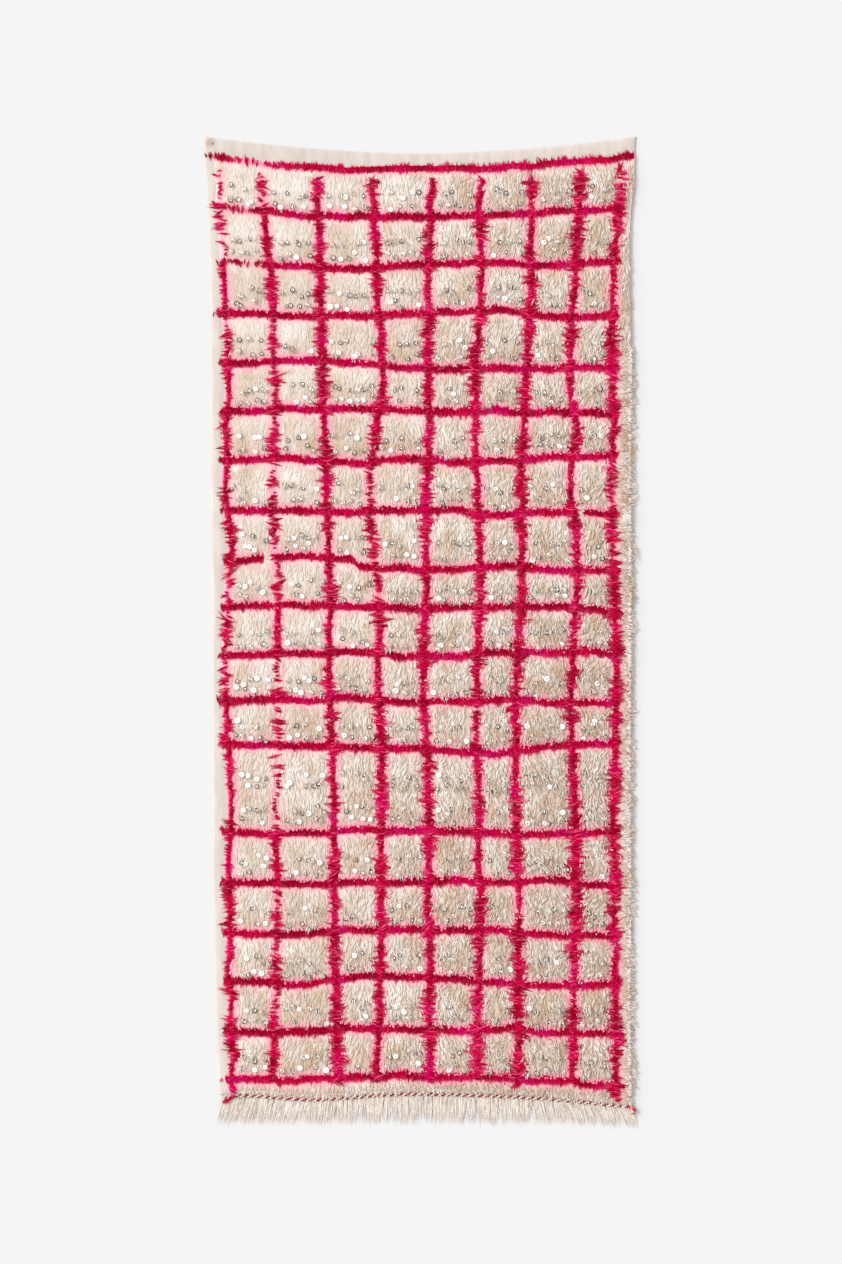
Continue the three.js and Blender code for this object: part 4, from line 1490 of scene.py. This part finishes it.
class HandiraSizes(bpy.types.PropertyGroup):
    cloth_columns: whole_number("Cloth columns", "Steps across the woven ground", 52)
    cloth_rows: whole_number("Cloth rows", "Steps down the woven ground", 118)
    bed_step: length("Bed step", "Distance between the points of the matted fleece", 0.0085)
    tuft_spacing: length("Tuft spacing", "Distance between tufts of ivory pile", 0.0090)
    strands_per_tuft: whole_number("Strands per tuft", "Strands in one ivory tuft", 3)
    strand_width: length("Strand width", "Width of an ivory strand at its middle", 0.0032)
    rim_spacing: length("Rim spacing", "Distance between the tufts that hang over the right edge", 0.0034)
    pile_length: length("Pile length", "Length of an ivory strand", 0.033)
    rose_width: length("Rose strand width", "Width of a rose strand at its middle", 0.0026)
    cross_tufts_per_metre: whole_number("Cross tufts", "Small rose tufts in a metre of a line across", 430)
    strands_per_tooth: whole_number("Strands per tooth", "Strands in a small tuft of a line across", 3)
    cross_length: length("Cross pile", "Length of the pile of a line across", 0.0255)
    dash_spacing: length("Dash spacing", "Distance between tufts of a line along", 0.0036)
    strands_per_dash: whole_number("Strands per dash", "Strands in one tuft of a line along", 5)
    long_length: length("Long pile", "Length of the pile of a line along", 0.0300)
    sequin_diameter: length("Sequin", "Diameter of a sequin", 0.0145)
    sequin_spacing: length("Sequin spacing", "Least distance between sequins in a row", 0.0205)
    sequins_lost: number("Sequins lost", "Share of the sequins that are missing", 0.2, subtype="FACTOR")
    strands_over_sequin: whole_number("Strands over a sequin", "Ivory strands that lie over a dull sequin", 4)
    fringe_bunches: whole_number("Fringe bunches", "Bunches of warp ends", 215)
    strands_per_bunch: whole_number("Strands per bunch", "Warp ends in a bunch", 11)
    fringe_width: length("Fringe strand", "Thickness of one warp end", 0.0013)
    cord_pitch: length("Cord pitch", "Length of one turn of the twined cord", 0.018)
    cord_ply: length("Cord ply", "Thickness of one ply of the cord", 0.0042)
    cord_step: length("Cord step", "Distance between the rings of the cord's mesh", 0.002)


class HandiraColours(bpy.types.PropertyGroup):
    ivory_light: colour("Light ivory", "Crest of the ivory pile", srgb(230, 223, 216))
    ivory_dark: colour("Dark ivory", "Shaded ivory pile", srgb(198, 171, 149))
    ivory_tan: colour("Tan ivory", "Soiled ivory pile", srgb(194, 166, 134))
    blush: colour("Blush", "Ivory pile beside a rose line", srgb(255, 162, 186))
    rose: colour("Rose", "Rose wool", srgb(188, 0, 55))
    rose_dark: colour("Dark rose", "Rose wool deep in the pile", srgb(152, 0, 38))
    rose_bright: colour("Bright rose", "Faded rose wool", srgb(194, 2, 86))
    rose_tip: colour("Rose tip", "Worn tip of a rose strand", srgb(246, 84, 134))
    # The furrow colour of the plain weave is painted shade.
    cloth_light: colour("Light cloth", "Crest of the plain weave", srgb(217, 208, 202))
    cloth_dark: colour("Dark cloth", "Furrow of the plain weave", srgb(201, 187, 178))
    stain: colour("Stain", "Brown corner mark", srgb(120, 90, 66))
    fringe_light: colour("Light fringe", "Pale warp ends", srgb(240, 230, 221))
    fringe_dark: colour("Dark fringe", "Shaded warp ends", srgb(186, 168, 153))
    cord_pale: colour("Pale ply", "Pale ply of the edge cord", srgb(222, 203, 190))
    cord_dark: colour("Dark ply", "Dark rose ply of the edge cord", srgb(122, 16, 44))
    # Painted light on the sequins: a painted glint, a painted reflection of the cream wool, and painted shade
    # at the rim.
    sequin_glint: colour("Bright sequin", "Painted glint", srgb(252, 252, 250))
    sequin_wool_reflection: colour("Dull sequin", "Painted reflection of the cream wool", srgb(228, 212, 192))
    sequin_rim: colour("Sequin rim", "Painted shade of the rim", srgb(56, 46, 38))


class HandiraStage(bpy.types.PropertyGroup):
    floor: colour("Floor", "Plain pale floor", srgb(217, 217, 218))
    sky: colour("Sky", "Light from all round", (1.0, 1.0, 1.0, 1.0))
    sky_strength: number("Sky strength", "Light from all round", 0.82)
    lamp_strength: number("Lamp strength", "Light from the upper left", 2.35)
    low_lamp_strength: number("Low lamp strength", "Light from low at the left, for the soft shadow", 0.9)
    lamp_spread: number("Lamp spread", "How soft each lamp is", math.radians(24), subtype="ANGLE")
    lamp_colour: bpy.props.FloatVectorProperty(
        name="Lamp colour", description="Colour of each lamp", default=(1.0, 0.99, 0.97), subtype="COLOR"
    )
    focal_length: length("Focal length", "Focal length of the camera", 0.100)


def settings(context):
    """The blanket's sizes and colours."""
    return context.scene.handira_sizes, context.scene.handira_colours


class HANDIRA_OT_stage(bpy.types.Operator):
    """Make the floor, the light and the camera"""

    bl_idname = "handira.stage"
    bl_label = "Stage"

    def execute(self, context):
        make_stage(context.scene.handira_stage)
        return {"FINISHED"}


class HANDIRA_OT_fleece_bed(bpy.types.Operator):
    """Make the matted fleece that the pile stands on"""

    bl_idname = "handira.fleece_bed"
    bl_label = "Fleece bed"

    def execute(self, context):
        make_fleece_bed(*settings(context))
        return {"FINISHED"}


class HANDIRA_OT_ivory_pile(bpy.types.Operator):
    """Make the tufts of ivory pile"""

    bl_idname = "handira.ivory_pile"
    bl_label = "Ivory pile"

    def execute(self, context):
        make_ivory_pile(*settings(context), seed=1)
        return {"FINISHED"}


class HANDIRA_OT_cross_lines(bpy.types.Operator):
    """Make the rose lines that run across"""

    bl_idname = "handira.cross_lines"
    bl_label = "Rose lines across"

    def execute(self, context):
        make_cross_lines(*settings(context), seed=2)
        return {"FINISHED"}


class HANDIRA_OT_long_lines(bpy.types.Operator):
    """Make the rose lines that run along"""

    bl_idname = "handira.long_lines"
    bl_label = "Rose lines along"

    def execute(self, context):
        make_long_lines(*settings(context), seed=3)
        return {"FINISHED"}


class HANDIRA_OT_sequins(bpy.types.Operator):
    """Make the sequins and the strands that lie over them"""

    bl_idname = "handira.sequins"
    bl_label = "Sequins"

    def execute(self, context):
        make_sequins(*settings(context), seed=4)
        return {"FINISHED"}


class HANDIRA_OT_warp_fringe(bpy.types.Operator):
    """Make the fringe of warp ends"""

    bl_idname = "handira.warp_fringe"
    bl_label = "Warp fringe"

    def execute(self, context):
        make_warp_fringe(*settings(context), seed=5)
        return {"FINISHED"}


class HANDIRA_OT_edge_cord(bpy.types.Operator):
    """Make the twined edge cord"""

    bl_idname = "handira.edge_cord"
    bl_label = "Edge cord"

    def execute(self, context):
        make_edge_cord(*settings(context), seed=6)
        return {"FINISHED"}


class HANDIRA_OT_ground_cloth(bpy.types.Operator):
    bl_idname = "handira.ground_cloth"
    bl_label = "Ground cloth"

    def execute(self, context):
        cloth = make_ground_cloth(*settings(context))
        return {"FINISHED"}


OPERATORS = (
    HANDIRA_OT_stage,
    HANDIRA_OT_fleece_bed,
    HANDIRA_OT_ivory_pile,
    HANDIRA_OT_cross_lines,
    HANDIRA_OT_long_lines,
    HANDIRA_OT_sequins,
    HANDIRA_OT_warp_fringe,
    HANDIRA_OT_edge_cord,
    HANDIRA_OT_ground_cloth,
)


class HANDIRA_PT_panel(bpy.types.Panel):
    """The blanket's pieces in the sidebar"""

    bl_idname = "HANDIRA_PT_panel"
    bl_label = "Handira Wedding Blanket"
    bl_space_type = "VIEW_3D"
    bl_region_type = "UI"
    bl_category = "Handira"

    def draw(self, context):
        for operator in OPERATORS:
            self.layout.operator(operator.bl_idname)
        for group in (*settings(context), context.scene.handira_stage):
            box = self.layout.box()
            for name in group.__annotations__:
                box.prop(group, name)


GROUPS = {
    "handira_sizes": HandiraSizes,
    "handira_colours": HandiraColours,
    "handira_stage": HandiraStage,
}


def register():
    for name, group in GROUPS.items():
        bpy.utils.register_class(group)
        setattr(bpy.types.Scene, name, bpy.props.PointerProperty(type=group))
    for operator in OPERATORS:
        bpy.utils.register_class(operator)
    bpy.utils.register_class(HANDIRA_PT_panel)


def unregister():
    bpy.utils.unregister_class(HANDIRA_PT_panel)
    for operator in reversed(OPERATORS):
        bpy.utils.unregister_class(operator)
    for name, group in GROUPS.items():
        delattr(bpy.types.Scene, name)
        bpy.utils.unregister_class(group)


def main():
    register()
    bpy.ops.handira.stage()
    bpy.ops.handira.fleece_bed()
    bpy.ops.handira.ivory_pile()
    bpy.ops.handira.cross_lines()
    bpy.ops.handira.long_lines()
    bpy.ops.handira.sequins()
    bpy.ops.handira.warp_fringe()
    bpy.ops.handira.edge_cord()
    bpy.ops.handira.ground_cloth()


if __name__ == "__main__":
    main()
